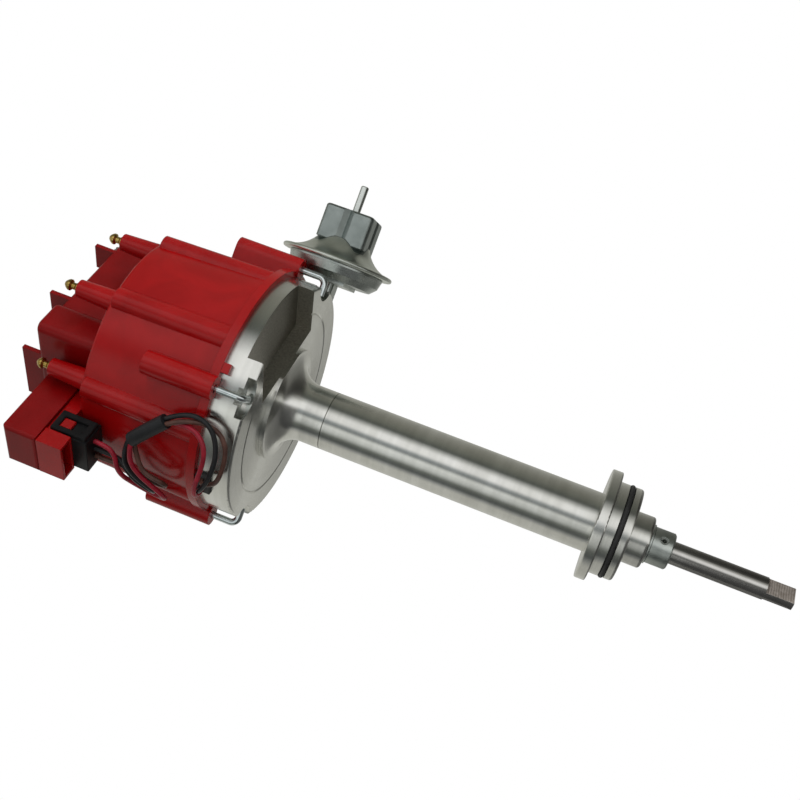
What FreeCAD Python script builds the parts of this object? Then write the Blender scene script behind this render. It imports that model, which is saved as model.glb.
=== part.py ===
import FreeCAD, Part
import math
import operator
import os
import Sketcher

# Ignition distributor for a V8 with a long machined housing, millimetres, +Z up.
# The origin is on the shaft's axis, in the plane of the flange's seat on the engine.
# The cap's azimuths are counted from +X towards +Y, and the vacuum canister lies along +X.

# Driving sizes: every one is a cell of the sheet, with its own name.
SIZES = {
    # Mounting end of the housing
    "flange_radius": 31.1,
    "flange_thickness": 6.0,
    "flange_edge_round": 0.8,
    "pilot_radius": 26.1,
    "pilot_length": 13.5,
    "pilot_round": 1.5,
    "ring_groove_top": 5.5,
    "ring_groove_width": 3.4,
    "ring_groove_depth": 2.6,
    "ring_radius": 1.55,
    "spigot_radius": 14.5,
    "spigot_length": 11.2,
    "spigot_round": 1.6,
    # Column and bowl of the housing
    "column_radius": 16.8,
    "column_bore": 10.5,
    "flare_radius": 14.0,
    "boss_radius": 33.0,
    "boss_height": 2.4,
    "bowl_height": 18.6,
    "bowl_radius": 69.4,
    "bowl_edge_round": 1.5,
    "bowl_ring_inset": 15.4,
    "bowl_ring_groove": 0.8,
    "bowl_depth": 13.3,
    "bowl_floor_inset": 9.9,
    "bowl_wall_inset": 5.4,
    "bowl_step_depth": 5.5,
    "bowl_rim": 209.5,
    "register_inset": 2.5,
    "register_height": 3.0,
    "recess_azimuth": -46.5,
    "recess_chord": 31.6,
    "recess_half_length": 31.0,
    "recess_roof_drop": 9.2,
    "recess_skin": 1.5,
    "recess_corner": 3.0,
    "latch_pocket_radius": 12.5,
    "latch_pocket_depth": 4.7,
    "latch_slot_width": 9.0,
    "latch_slot_depth": 7.3,
    "latch_slot_inset": 6.4,
    "hub_radius": 12.0,
    "hub_drop": 2.1,
    "hub_shoulder_radius": 17.0,
    "hub_shoulder_drop": 7.5,
    # Shaft and drive end
    "shaft_radius": 6.25,
    "journal_radius": 6.45,
    "shaft_bottom": -105.0,
    "shaft_rise": 26.5,
    "tang_height": 15.3,
    "tang_thickness": 5.0,
    "bush_radius": 10.5,
    "bush_length": 28.0,
    "bush_inset": 1.0,
    "washer_thickness": 0.9,
    "washer_radius": 11.0,
    "collar_radius": 10.15,
    "collar_length": 11.4,
    "pin_radius": 2.3,
    "pin_bore": 1.2,
    "shaft_turn": 30.4,
    "tang_turn": 20.9,
    "collar_chamfer": 0.8,
    "running_gap": 0.05,
    "end_gap": 0.3,
    # Cap
    "rim_overhang": 3.4,
    "rim_height": 5.0,
    "cap_foot_inset": 0.2,
    "cap_edge_round": 2.5,
    "cap_draft": 3.2,
    "cap_height": 73.5,
    "cap_wall": 3.6,
    "cap_top_wall": 3.2,
    "tower_inset": 7.4,
    "tower_count": 8,
    "first_tower_azimuth": 22.5,
    "tower_radius": 6.4,
    "tower_height": 22.0,
    "tower_taper": 3.0,
    "rib_radius": 8.2,
    "rib_inset": 5.0,
    "rib_taper": 1.4,
    "inner_post_radius": 5.0,
    "inner_post_inset": 3.6,
    "inner_post_hang": 21.0,
    "button_boss_radius": 8.0,
    "button_boss_depth": 9.0,
    "button_radius": 3.0,
    "lug_radius": 6.4,
    "lug_hang": 1.3,
    "lug_rise": 38.5,
    "lug_shelf": 4.0,
    "lug_bore": 4.4,
    "locating_tab_azimuth": -81.0,
    "locating_tab_width": 5.5,
    "locating_tab_height": 4.2,
    # Spark terminals
    "terminal_height": 8.6,
    "terminal_ring": 2.9,
    "terminal_bulb": 3.1,
    "terminal_neck": 1.9,
    "terminal_nose": 2.4,
    "terminal_stem": 2.5,
    "electrode_half_width": 2.2,
    "electrode_hang": 30.5,
    "electrode_depth": 11.0,
    "electrode_reach": 5.0,
    # Coil cover, measured along and across its own long axis
    "cover_azimuth": -135.0,
    "cover_height": 36.0,
    "cover_back": -46.0,
    "cover_front": 46.0,
    "cover_half_width": 35.0,
    "cover_round": 5.0,
    "cover_wall": 2.5,
    "cover_gap": 0.2,
    "bulge_back": 24.0,
    "bulge_half_width": 40.5,
    "flap_thickness": 2.6,
    "flap_height": 11.0,
    "flap_inner": 19.0,
    "rear_flap": -32.0,
    "middle_flap": 14.6,
    "end_flap": 44.0,
    "end_flap_half_width": 17.7,
    "hood_inner": 44.0,
    "hood_overhang": 10.5,
    "hood_half_width": 13.5,
    "hood_lift": 6.5,
    "hood_rise": 26.0,
    "hood_round": 2.0,
    "cover_screw_back": -39.0,
    "cover_screw_front": 37.0,
    "cover_screw_side": 27.0,
    "screw_radius": 2.2,
    "screw_head_radius": 4.0,
    "screw_head_height": 2.6,
    "screw_slot": 1.0,
    "inner_screw_radius": 1.6,
    # Coil under the cover
    "coil_half_length": 26.0,
    "coil_half_width": 21.0,
    "coil_lift": 2.2,
    "coil_height": 29.8,
    "coil_leg": 9.0,
    "coil_plate": 8.0,
    "seal_radius": 13.0,
    # Connector under the hood
    "connector_half_width": 12.5,
    "connector_drop": 8.5,
    "connector_arm_drop": 2.0,
    "connector_wall": 1.6,
    "plug_depth": 15.5,
    "plug_half_width": 11.8,
    "plug_drop": 17.0,
    "plug_lever_rise": 5.0,
    "lever_thickness": 1.6,
    "lever_slot_width": 2.4,
    "lever_gap": 2.2,
    "wire_seat": 4.0,
    "wire_spacing": 6.0,
    "wire_radius": 1.35,
    # Grommet and sleeve of the harness
    "tubing_radius": 4.1,
    "tubing_wall": 0.4,
    "grommet_azimuth": -137.0,
    "wire_entry_drop": 4.1,
    "wire_entry_spacing": 4.4,
    "grommet_width": 15.0,
    "grommet_depth": 8.5,
    "grommet_stand": 2.6,
    "grommet_round": 2.0,
    # Latches
    "latch_stand": 5.1,
    "latch_rod_radius": 2.0,
    "latch_foot_lift": 2.3,
    "latch_foot_length": 10.0,
    "latch_bend": 4.2,
    "latch_head_recess": 4.5,
    "latch_head_height": 3.0,
    "latch_head_radius": 4.1,
    "spring_wire": 0.5,
    "latch_spring_radius": 3.3,
    # Vacuum advance
    "canister_offset": 30.0,
    "canister_drop": 11.5,
    "canister_stand": 16.6,
    "canister_rim_radius": 34.0,
    "canister_rim": 2.6,
    "flare_start": 31.4,
    "flare_curve": 21.0,
    "canister_skin": 1.2,
    "cone_length": 15.7,
    "canister_box_half": 15.0,
    "box_length": 16.3,
    "box_corner": 3.4,
    "crease_width": 4.6,
    "crease_depth": 2.2,
    "nipple_radius": 2.35,
    "nipple_length": 17.0,
    "nipple_bore": 1.3,
    "nipple_chamfer": 0.5,
    "vacuum_spring_radius": 7.0,
    "cup_depth": 9.5,
    "cup_radius": 27.5,
    "rod_radius": 1.5,
    "rod_stroke": 4.0,
    "rod_start": 3.5,
    "rod_eye": 4.0,
    "bracket_thickness": 2.0,
    "bracket_drop": 12.0,
    "bracket_start": 14.0,
    "bracket_end": 46.0,
    "tongue_start": 33.5,
    "tongue_end": 43.5,
    "tongue_inner": 25.0,
    "tongue_screw": 38.0,
    "tongue_screw_step": 8.0,
    # Pick-up
    "plate_radius": 38.0,
    "plate_thickness": 1.6,
    "plate_pin_radius": 1.5,
    "pin_play": 0.6,
    "magnet_inner": 27.5,
    "magnet_height": 5.0,
    "winding_inner": 20.5,
    "winding_outer": 27.0,
    "pole_inner": 19.6,
    "pole_tooth_radius": 17.6,
    "pole_thickness": 1.8,
    "tooth_half_width": 1.6,
    # Advance mechanism and rotor
    "sleeve_radius": 9.0,
    "core_radius": 14.6,
    "core_tooth_radius": 17.0,
    "core_height": 5.0,
    "base_rise": 12.5,
    "base_thickness": 2.4,
    "base_radius": 29.0,
    "weight_pivot": 20.0,
    "weight_thickness": 3.2,
    "weight_reach": 17.0,
    "weight_width": 6.0,
    "pivot_radius": 2.5,
    "cam_thickness": 3.0,
    "cam_half_length": 12.0,
    "cam_half_width": 12.0,
    "rotor_rise": 16.0,
    "rotor_radius": 31.0,
    "rotor_height": 16.0,
    "rotor_wall": 2.4,
    "rotor_hub": 13.0,
    "rotor_screw_circle": 22.0,
    "blade_reach": 48.5,
    "blade_thickness": 1.5,
    "blade_half_width": 4.5,
    # Electronics on the bowl's floor
    "module_azimuth": 200.0,
    "module_radius": 46.0,
    "module_length": 40.0,
    "module_width": 19.0,
    "module_height": 5.5,
    "capacitor_azimuth": 115.0,
    "capacitor_radius": 48.0,
    "capacitor_body": 5.5,
    "capacitor_length": 26.0,
}

doc = FreeCAD.newDocument("Distributor")
sheet = doc.addObject("Spreadsheet::Sheet", "Sizes")
for row, (alias, value) in enumerate(SIZES.items(), start=1):
    sheet.set(f"A{row}", alias)
    sheet.set(f"B{row}", str(value))
    sheet.setAlias(f"B{row}", alias)
doc.recompute()


class Size:
    """A number together with the sheet expression that gives it."""

    def __init__(self, number, text):
        self.number = number
        self.text = text

    def __add__(self, other):
        return joined(operator.add, self, "+", other)

    def __radd__(self, other):
        return joined(operator.add, other, "+", self)

    def __sub__(self, other):
        return joined(operator.sub, self, "-", other)

    def __rsub__(self, other):
        return joined(operator.sub, other, "-", self)

    def __mul__(self, other):
        return joined(operator.mul, self, "*", other)

    def __rmul__(self, other):
        return joined(operator.mul, other, "*", self)

    def __truediv__(self, other):
        return joined(operator.truediv, self, "/", other)

    def __neg__(self):
        return joined(operator.mul, -1, "*", self)


def as_size(value):
    return value if isinstance(value, Size) else Size(float(value), f"({value})")


def joined(action, left, sign, right):
    left = as_size(left)
    right = as_size(right)
    return Size(action(left.number, right.number), f"({left.text} {sign} {right.text})")


class Sheet:
    """Reads a cell by its name, as a Size."""

    def __getattr__(self, alias):
        return Size(float(sheet.get(alias)), f"Sizes.{alias}")


s = Sheet()
ROUND = Size(360.0, "360")
UP = FreeCAD.Vector(0, 0, 1)

# Heights counted from the bowl's rim
s.bowl_bottom = s.bowl_rim - s.bowl_height
s.bowl_floor = s.bowl_rim - s.bowl_depth
s.bowl_wall_step = s.bowl_rim - s.bowl_step_depth
s.hub_top = s.bowl_rim - s.hub_drop
s.hub_shoulder_top = s.bowl_rim - s.hub_shoulder_drop
s.shaft_top = s.bowl_rim + s.shaft_rise
s.cap_top = s.bowl_rim + s.cap_height
s.lug_bottom = s.bowl_rim - s.lug_hang
s.lug_top = s.bowl_rim + s.lug_rise
s.wire_entry_height = s.bowl_rim - s.wire_entry_drop
s.grommet_bottom = s.bowl_rim - s.grommet_depth
s.recess_roof = s.bowl_rim - s.recess_roof_drop
s.canister_height = s.bowl_rim - s.canister_drop
s.base_bottom = s.bowl_rim + s.base_rise
# Radii counted from the bowl's radius
s.bowl_ring_radius = s.bowl_radius - s.bowl_ring_inset
s.bowl_floor_radius = s.bowl_radius - s.bowl_floor_inset
s.bowl_wall_radius = s.bowl_radius - s.bowl_wall_inset
s.register_radius = s.bowl_radius - s.register_inset
s.latch_slot_inner = s.bowl_radius - s.latch_slot_inset
s.rim_radius = s.bowl_radius + s.rim_overhang
s.cap_foot_radius = s.bowl_radius - s.cap_foot_inset
s.rib_circle = s.bowl_radius - s.rib_inset
s.latch_circle = s.bowl_radius + s.latch_stand
s.canister_face = s.bowl_radius + s.canister_stand
# Sizes counted from those
s.cap_shoulder_radius = s.cap_foot_radius - s.cap_draft
s.cap_shoulder = s.cap_top - s.cap_edge_round
s.tower_circle = s.cap_shoulder_radius - s.tower_inset
s.tower_top = s.cap_top + s.tower_height
s.inner_post_circle = s.tower_circle - s.inner_post_inset
s.inner_post_bottom = s.cap_top - s.inner_post_hang
s.terminal_top = s.tower_top + s.terminal_height
s.electrode_bottom = s.cap_top - s.electrode_hang
s.electrode_top = s.cap_top - s.electrode_depth
s.cover_top = s.cap_top + s.cover_height
s.hood_bottom = s.cap_top + s.hood_lift
s.hood_top = s.cap_top + s.hood_rise
s.coil_bottom = s.cap_top + s.coil_lift
s.coil_top = s.coil_bottom + s.coil_height
s.connector_bottom = s.cap_top - s.connector_drop
s.connector_arm_bottom = s.cap_top - s.connector_arm_drop
s.plug_inner = s.cap_foot_radius + s.end_gap
s.plug_outer = s.plug_inner + s.plug_depth
s.hood_outer = s.plug_outer + s.hood_overhang
s.plug_bottom = s.cap_top - s.plug_drop
s.plug_top = s.cap_top + s.plug_lever_rise
s.latch_foot_height = s.bowl_bottom + s.latch_foot_lift
s.latch_head_top = s.lug_top - s.latch_head_recess
s.canister_neck = s.canister_face + s.cone_length
s.canister_box_end = s.canister_neck + s.box_length
s.nipple_end = s.canister_box_end + s.nipple_length
s.bracket_bottom = s.canister_height - s.bracket_drop
s.plate_bottom = s.hub_shoulder_top + s.end_gap
s.sleeve_bottom = s.hub_top + 2 * s.end_gap
s.rotor_bottom = s.base_bottom + s.rotor_rise


def bind(thing, prop, value):
    """Ties one property of a feature to the sheet."""
    thing.setExpression(prop, as_size(value).text)


def new_body(name, azimuth=None):
    body = doc.addObject("PartDesign::Body", name)
    body.Label = name
    if azimuth is not None:
        body.Placement = FreeCAD.Placement(FreeCAD.Vector(), FreeCAD.Rotation(UP, as_size(azimuth).number))
        bind(body, "Placement.Rotation.Angle", azimuth)
    return body


def new_sketch(body, role, lift=0):
    """A sketch on one of the body's own planes, moved along the plane's normal by lift."""
    sketch = body.newObject("Sketcher::SketchObject", "Sketch")
    plane = next(part for part in body.Origin.OriginFeatures if part.Role == role)
    sketch.AttachmentSupport = [(plane, "")]
    sketch.MapMode = "FlatFace"
    bind(sketch, "AttachmentOffset.Base.z", lift)
    return sketch


def pin_point(sketch, edge, end, across, along):
    """Holds one point of the sketch at a distance across and along from the origin."""
    for kind, value in (("DistanceX", as_size(across)), ("DistanceY", as_size(along))):
        index = sketch.addConstraint(Sketcher.Constraint(kind, -1, 1, edge, end, value.number))
        sketch.setExpression(f"Constraints[{index}]", value.text)


def arc_between(start, finish, radius, turn):
    """The smaller arc from start to finish, turning left for 1 and right for -1."""
    middle = (start + finish) / 2
    chord = finish - start
    rise = math.sqrt(max(radius ** 2 - (chord.Length / 2) ** 2, 0.0))
    normal = FreeCAD.Vector(-chord.y, chord.x, 0).normalize()
    centre = middle + normal * rise * turn
    first, last = (start, finish) if turn > 0 else (finish, start)
    angles = [math.atan2(point.y - centre.y, point.x - centre.x) for point in (first, last)]
    if angles[1] < angles[0]:
        angles[1] += 2 * math.pi
    return Part.ArcOfCircle(Part.Circle(centre, UP, radius), angles[0], angles[1])


def outline(body, role, points, lift=0):
    """A closed outline; a point is (across, along) or (across, along, radius, turn) after an arc."""
    sketch = new_sketch(body, role, lift)
    spots = [FreeCAD.Vector(as_size(p[0]).number, as_size(p[1]).number, 0) for p in points]
    ends = []
    for index, point in enumerate(points):
        before = spots[index - 1]
        if len(point) == 2:
            edge = sketch.addGeometry(Part.LineSegment(before, spots[index]))
            ends.append((edge, 1, 2))
            continue
        radius = as_size(point[2])
        edge = sketch.addGeometry(arc_between(before, spots[index], radius.number, point[3]))
        ends.append((edge, 1, 2) if point[3] > 0 else (edge, 2, 1))
        number = sketch.addConstraint(Sketcher.Constraint("Radius", edge, radius.number))
        sketch.setExpression(f"Constraints[{number}]", radius.text)
    for index, (edge, _, finish) in enumerate(ends):
        following, begin, _ = ends[(index + 1) % len(ends)]
        sketch.addConstraint(Sketcher.Constraint("Coincident", edge, finish, following, begin))
        pin_point(sketch, edge, finish, points[index][0], points[index][1])
    return sketch


def rectangle(body, role, low, high, lift=0):
    (left, bottom), (right, top) = low, high
    return outline(body, role, [(left, bottom), (right, bottom), (right, top), (left, top)], lift)


def circles(body, role, rings, lift=0):
    """Circles in one sketch; each ring is (across, along, radius)."""
    sketch = new_sketch(body, role, lift)
    for across, along, radius in rings:
        centre = FreeCAD.Vector(as_size(across).number, as_size(along).number, 0)
        edge = sketch.addGeometry(Part.Circle(centre, UP, as_size(radius).number))
        pin_point(sketch, edge, 3, across, along)
        number = sketch.addConstraint(Sketcher.Constraint("Radius", edge, as_size(radius).number))
        sketch.setExpression(f"Constraints[{number}]", as_size(radius).text)
    return sketch


def extrude(body, kind, sketch, length, back=False, middle=False, taper=0):
    feature = body.newObject(kind, kind.split("::")[1])
    feature.Profile = sketch
    bind(feature, "Length", length)
    feature.Reversed = back
    feature.SideType = "Symmetric" if middle else "One side"
    if isinstance(taper, Size):
        bind(feature, "TaperAngle", taper)
    return feature


def pad(body, sketch, length, **options):
    return extrude(body, "PartDesign::Pad", sketch, length, **options)


def pocket(body, sketch, length, **options):
    return extrude(body, "PartDesign::Pocket", sketch, length, **options)


def turn(body, kind, sketch, axis):
    feature = body.newObject(kind, kind.split("::")[1])
    feature.Profile = sketch
    feature.ReferenceAxis = (sketch, [axis])
    feature.Angle = 360
    return feature


def revolve(body, points, axis="V_Axis"):
    return turn(body, "PartDesign::Revolution", outline(body, "XZ_Plane", points), axis)


def groove(body, points, axis="V_Axis"):
    return turn(body, "PartDesign::Groove", outline(body, "XZ_Plane", points), axis)


def around(body, features, count):
    """Repeats features evenly about the body's own Z axis."""
    pattern = body.newObject("PartDesign::PolarPattern", "Pattern")
    pattern.Originals = features
    axis = next(part for part in body.Origin.OriginFeatures if part.Role == "Z_Axis")
    pattern.Axis = (axis, [""])
    pattern.Angle = 360
    bind(pattern, "Occurrences", count)
    body.Tip = pattern
    return pattern


def edges_where(body, wanted):
    """Names of the edges of the body's last shape that wanted says yes to."""
    doc.recompute()
    found = enumerate(body.Tip.Shape.Edges, start=1)
    return [f"Edge{number}" for number, edge in found if wanted(edge)]


def soften(body, kind, size, wanted):
    """Rounds or chamfers the edges that wanted picks."""
    names = edges_where(body, wanted)
    base = body.Tip
    feature = body.newObject(kind, kind.split("::")[1])
    feature.Base = (base, names)
    bind(feature, "Radius" if kind.endswith("Fillet") else "Size", size)
    return feature


def fillet(body, radius, wanted):
    return soften(body, "PartDesign::Fillet", radius, wanted)


def vertical(edge):
    return isinstance(edge.Curve, Part.Line) and abs(edge.tangentAt(edge.FirstParameter).z) > 0.99


def all_at_height(edge, height):
    return all(abs(vertex.Z - height.number) < 0.01 for vertex in edge.Vertexes)


def shape_object(name, shape, azimuth=0):
    """A piece whose form is worked out from the sheet by code, not by features."""
    piece = doc.addObject("Part::Feature", name)
    piece.Label = name
    turned = FreeCAD.Placement(FreeCAD.Vector(), FreeCAD.Rotation(UP, as_size(azimuth).number))
    piece.Shape = shape
    piece.Placement = turned.multiply(shape.Placement)
    return piece


def tube(points, radius, bend=None):
    """A round tube along straight runs joined by tangent arcs, with the arcs' radii."""
    spots = [FreeCAD.Vector(*point) for point in points]
    edges = []
    radii = []
    start = spots[0]
    for before, corner, after in zip(spots, spots[1:], spots[2:]):
        inward = (corner - before).normalize()
        outward = (after - corner).normalize()
        half = inward.getAngle(outward) / 2
        shorter = min((corner - before).Length, (after - corner).Length)
        reach = 0.45 * shorter if bend is None else bend * math.tan(half)
        radii.append(reach / math.tan(half))
        first = corner - inward * reach
        last = corner + outward * reach
        centre_line = (outward - inward).normalize()
        crown = corner + centre_line * (radii[-1] / math.cos(half) - radii[-1])
        edges.append(Part.LineSegment(start, first).toShape())
        edges.append(Part.Arc(first, crown, last).toShape())
        start = last
    edges.append(Part.LineSegment(start, spots[-1]).toShape())
    path = Part.Wire(edges)
    section = Part.Wire(Part.Circle(spots[0], spots[1] - spots[0], radius).toShape())
    solid = path.makePipeShell([section], True, False)
    return solid, radii, path.Length


def coil_spring(foot, radius, wire, length, turns):
    """A helical spring standing up from foot."""
    pitch = (length - 2 * wire) / turns
    path = Part.makeHelix(pitch, pitch * turns, radius)
    section = Part.Wire(Part.Circle(FreeCAD.Vector(radius, 0, 0), FreeCAD.Vector(0, 1, 0), wire).toShape())
    spring = Part.Wire(path).makePipeShell([section], True, True)
    spring.translate(foot + FreeCAD.Vector(0, 0, wire))
    return spring


def make_housing():
    """The turned and milled housing: flange, O-ring pilot, column, flare and open bowl."""
    body = new_body("housing")
    pilot_end = -s.pilot_length
    spigot_end = pilot_end - s.spigot_length
    groove_low = -s.ring_groove_top - s.ring_groove_width
    groove_floor = s.pilot_radius - s.ring_groove_depth
    boss_face = s.bowl_bottom - s.boss_height
    revolve(body, [
        (s.column_bore, spigot_end),
        (s.spigot_radius - s.spigot_round, spigot_end),
        (s.spigot_radius, spigot_end + s.spigot_round, s.spigot_round, 1),
        (s.spigot_radius, pilot_end),
        (s.pilot_radius - s.pilot_round, pilot_end),
        (s.pilot_radius, pilot_end + s.pilot_round, s.pilot_round, 1),
        (s.pilot_radius, groove_low),
        (groove_floor, groove_low),
        (groove_floor, -s.ring_groove_top),
        (s.pilot_radius, -s.ring_groove_top),
        (s.pilot_radius, 0),
        (s.flange_radius - s.flange_edge_round, 0),
        (s.flange_radius, s.flange_edge_round, s.flange_edge_round, 1),
        (s.flange_radius, s.flange_thickness - s.flange_edge_round),
        (s.flange_radius - s.flange_edge_round, s.flange_thickness, s.flange_edge_round, 1),
        (s.column_radius, s.flange_thickness),
        (s.column_radius, boss_face - s.flare_radius),
        (s.column_radius + s.flare_radius, boss_face, s.flare_radius, -1),
        (s.boss_radius, boss_face),
        (s.boss_radius, s.bowl_bottom),
        (s.bowl_ring_radius - s.bowl_ring_groove, s.bowl_bottom),
        (s.bowl_ring_radius, s.bowl_bottom + s.bowl_ring_groove),
        (s.bowl_ring_radius + s.bowl_ring_groove, s.bowl_bottom),
        (s.bowl_radius - s.bowl_edge_round, s.bowl_bottom),
        (s.bowl_radius, s.bowl_bottom + s.bowl_edge_round, s.bowl_edge_round, 1),
        (s.bowl_radius, s.bowl_rim),
        (s.register_radius, s.bowl_rim),
        (s.register_radius, s.bowl_rim + s.register_height),
        (s.bowl_wall_radius, s.bowl_rim + s.register_height),
        (s.bowl_wall_radius, s.bowl_wall_step),
        (s.bowl_floor_radius, s.bowl_wall_step),
        (s.bowl_floor_radius, s.bowl_floor),
        (s.hub_shoulder_radius, s.bowl_floor),
        (s.hub_shoulder_radius, s.hub_shoulder_top),
        (s.hub_radius, s.hub_shoulder_top),
        (s.hub_radius, s.hub_top),
        (s.column_bore, s.hub_top),
    ])
    mill_recess(body)
    mill_latch_pockets(body)
    cut_grommet_slot(body)
    cut_vacuum_slots(body)
    return body


def cut_vacuum_slots(body):
    """The slots in the bowl's wall for the vacuum rod and for the bracket's tongue."""
    low = s.bowl_floor
    reach = s.bowl_radius + s.cover_wall
    side = s.rod_radius + s.end_gap * 2
    rod = rectangle(body, "XY_Plane", (s.bowl_floor_radius / 2, s.canister_offset - side),
                    (reach, s.canister_offset + side), low)
    pocket(body, rod, 2 * s.rod_radius + s.bracket_thickness, back=True)
    tongue = rectangle(body, "XY_Plane", (s.tongue_inner, s.tongue_start - s.cover_gap),
                       (reach, s.tongue_end + s.cover_gap), low)
    pocket(body, tongue, s.bracket_thickness + s.cover_gap, back=True)


def mill_recess(body):
    """The deep step under the bowl: a wall along a chord, up to a flat roof that the floor clears."""
    skin = s.recess_skin
    inner = s.recess_chord - skin
    half = s.recess_half_length + skin
    side = s.bowl_floor_radius - s.bowl_wall_inset - s.recess_corner
    outer = s.bowl_floor_radius + skin / 2
    raised = outline(body, "XY_Plane", [(inner, -half), (side, -half), (outer, -half + s.recess_corner),
                                        (outer, half - s.recess_corner), (side, half), (inner, half)],
                     s.bowl_floor - skin)
    turn_sketch(raised, s.recess_azimuth)
    pad(body, raised, s.recess_roof - s.bowl_floor + 2 * skin)
    recess = rectangle(body, "XY_Plane", (s.recess_chord, -s.recess_half_length),
                       (s.bowl_radius + s.cover_wall, s.recess_half_length), s.bowl_bottom - s.boss_height)
    turn_sketch(recess, s.recess_azimuth)
    pocket(body, recess, s.recess_roof - s.bowl_bottom + s.boss_height, back=True)


def turn_sketch(sketch, azimuth):
    """Turns a sketch on its plane by an angle about the part's axis."""
    turned = FreeCAD.Rotation(UP, as_size(azimuth).number)
    sketch.AttachmentOffset = FreeCAD.Placement(sketch.AttachmentOffset.Base, turned)
    bind(sketch, "AttachmentOffset.Rotation.Angle", azimuth)


def mill_latch_pockets(body):
    """Four crescents with a slot for each latch's foot, milled into the bowl's underside."""
    crescent = circles(body, "XY_Plane", [(s.latch_circle, 0, s.latch_pocket_radius)],
                       s.bowl_bottom - s.boss_height)
    shallow = pocket(body, crescent, s.boss_height + s.latch_pocket_depth, back=True)
    slot = rectangle(body, "XY_Plane", (s.latch_slot_inner, -s.latch_slot_width / 2),
                     (s.bowl_radius + s.cover_wall, s.latch_slot_width / 2), s.bowl_bottom - s.boss_height)
    deep = pocket(body, slot, s.boss_height + s.latch_slot_depth, back=True)
    around(body, [shallow, deep], 4)


def cut_grommet_slot(body):
    """The notch in the bowl's rim that the harness grommet sits in."""
    sketch = rectangle(body, "XY_Plane", (s.bowl_floor_radius - 5, -s.grommet_width / 2),
                       (s.bowl_radius + s.cover_wall, s.grommet_width / 2), s.grommet_bottom)
    turn_sketch(sketch, s.grommet_azimuth)
    pocket(body, sketch, s.bowl_rim + s.register_height - s.grommet_bottom, back=True)


def make_ring():
    """The pilot's O-ring, in its groove and just proud of the land."""
    ring = doc.addObject("Part::Torus", "pilot_o_ring")
    ring.Label = "pilot_o_ring"
    bind(ring, "Radius1", s.pilot_radius - s.ring_groove_depth + s.ring_radius + s.running_gap)
    bind(ring, "Radius2", s.ring_radius)
    bind(ring, "Placement.Base.z", -s.ring_groove_top - s.ring_groove_width / 2)
    return ring


def make_bush(name, bottom):
    """A plain sintered bush for the shaft."""
    body = new_body(name)
    bore = s.journal_radius + s.running_gap
    pad(body, circles(body, "XY_Plane", [(0, 0, s.bush_radius), (0, 0, bore)], bottom), s.bush_length)
    return body


def make_shaft():
    """The main shaft, with its tang at the foot."""
    body = new_body("shaft")
    step = collar_top() - s.collar_length
    pad(body, circles(body, "XY_Plane", [(0, 0, s.shaft_radius)], s.shaft_bottom), step - s.shaft_bottom)
    pad(body, circles(body, "XY_Plane", [(0, 0, s.journal_radius)], step), s.shaft_top - step)
    for side in (1, -1):
        low = s.tang_thickness / 2 * side
        high = (s.shaft_radius + s.end_gap) * side
        cheek = rectangle(body, "XY_Plane", (-s.shaft_radius - s.end_gap, low),
                          (s.shaft_radius + s.end_gap, high), s.shaft_bottom)
        turn_sketch(cheek, s.tang_turn)
        pocket(body, cheek, s.tang_height, back=True)
    hole = circles(body, "XZ_Plane", [(0, pin_height(), s.pin_radius)])
    pocket(body, hole, 4 * s.shaft_radius, middle=True)
    body.Placement = FreeCAD.Placement(FreeCAD.Vector(), FreeCAD.Rotation(UP, s.shaft_turn.number))
    bind(body, "Placement.Rotation.Angle", s.shaft_turn)
    return body


def collar_top():
    return -s.pilot_length - s.spigot_length - s.washer_thickness - 2 * s.end_gap


def pin_height():
    return collar_top() - s.collar_length / 2


def make_thrust_washer():
    body = new_body("thrust_washer")
    ring = [(0, 0, s.washer_radius), (0, 0, s.journal_radius + s.running_gap)]
    top = -s.pilot_length - s.spigot_length - s.end_gap
    pad(body, circles(body, "XY_Plane", ring, top - s.washer_thickness), s.washer_thickness)
    return body


def make_collar():
    """The collar that keeps the shaft up, cross-drilled for its pin."""
    body = new_body("shaft_collar", s.shaft_turn)
    ring = [(0, 0, s.collar_radius), (0, 0, s.journal_radius)]
    bottom = collar_top() - s.collar_length
    pad(body, circles(body, "XY_Plane", ring, bottom), s.collar_length)
    hole = circles(body, "XZ_Plane", [(0, pin_height(), s.pin_radius)])
    pocket(body, hole, 4 * s.collar_radius, middle=True)
    around_bore = 2 * math.pi * s.journal_radius.number
    soften(body, "PartDesign::Chamfer", s.collar_chamfer,
           lambda edge: all_at_height(edge, bottom) and edge.Length > around_bore + 1)
    return body


def make_roll_pin():
    """The rolled spring pin, with its slit, through collar and shaft."""
    body = new_body("roll_pin", s.shaft_turn)
    rings = circles(body, "XZ_Plane", [(0, pin_height(), s.pin_radius), (0, pin_height(), s.pin_bore)])
    pad(body, rings, 2 * s.collar_radius - 1, middle=True)
    slit = rectangle(body, "XZ_Plane", (-s.screw_slot / 4, pin_height()),
                     (s.screw_slot / 4, pin_height() + s.pin_radius + 1))
    pocket(body, slit, 2 * s.collar_radius, middle=True)
    return body


def cap_wall_radius(height):
    """The cap's drafted outside at a height."""
    low = s.bowl_rim + s.rim_height
    taper = s.cap_shoulder_radius - s.cap_foot_radius
    return s.cap_foot_radius + taper * (height - low) / (s.cap_shoulder - low)


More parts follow.
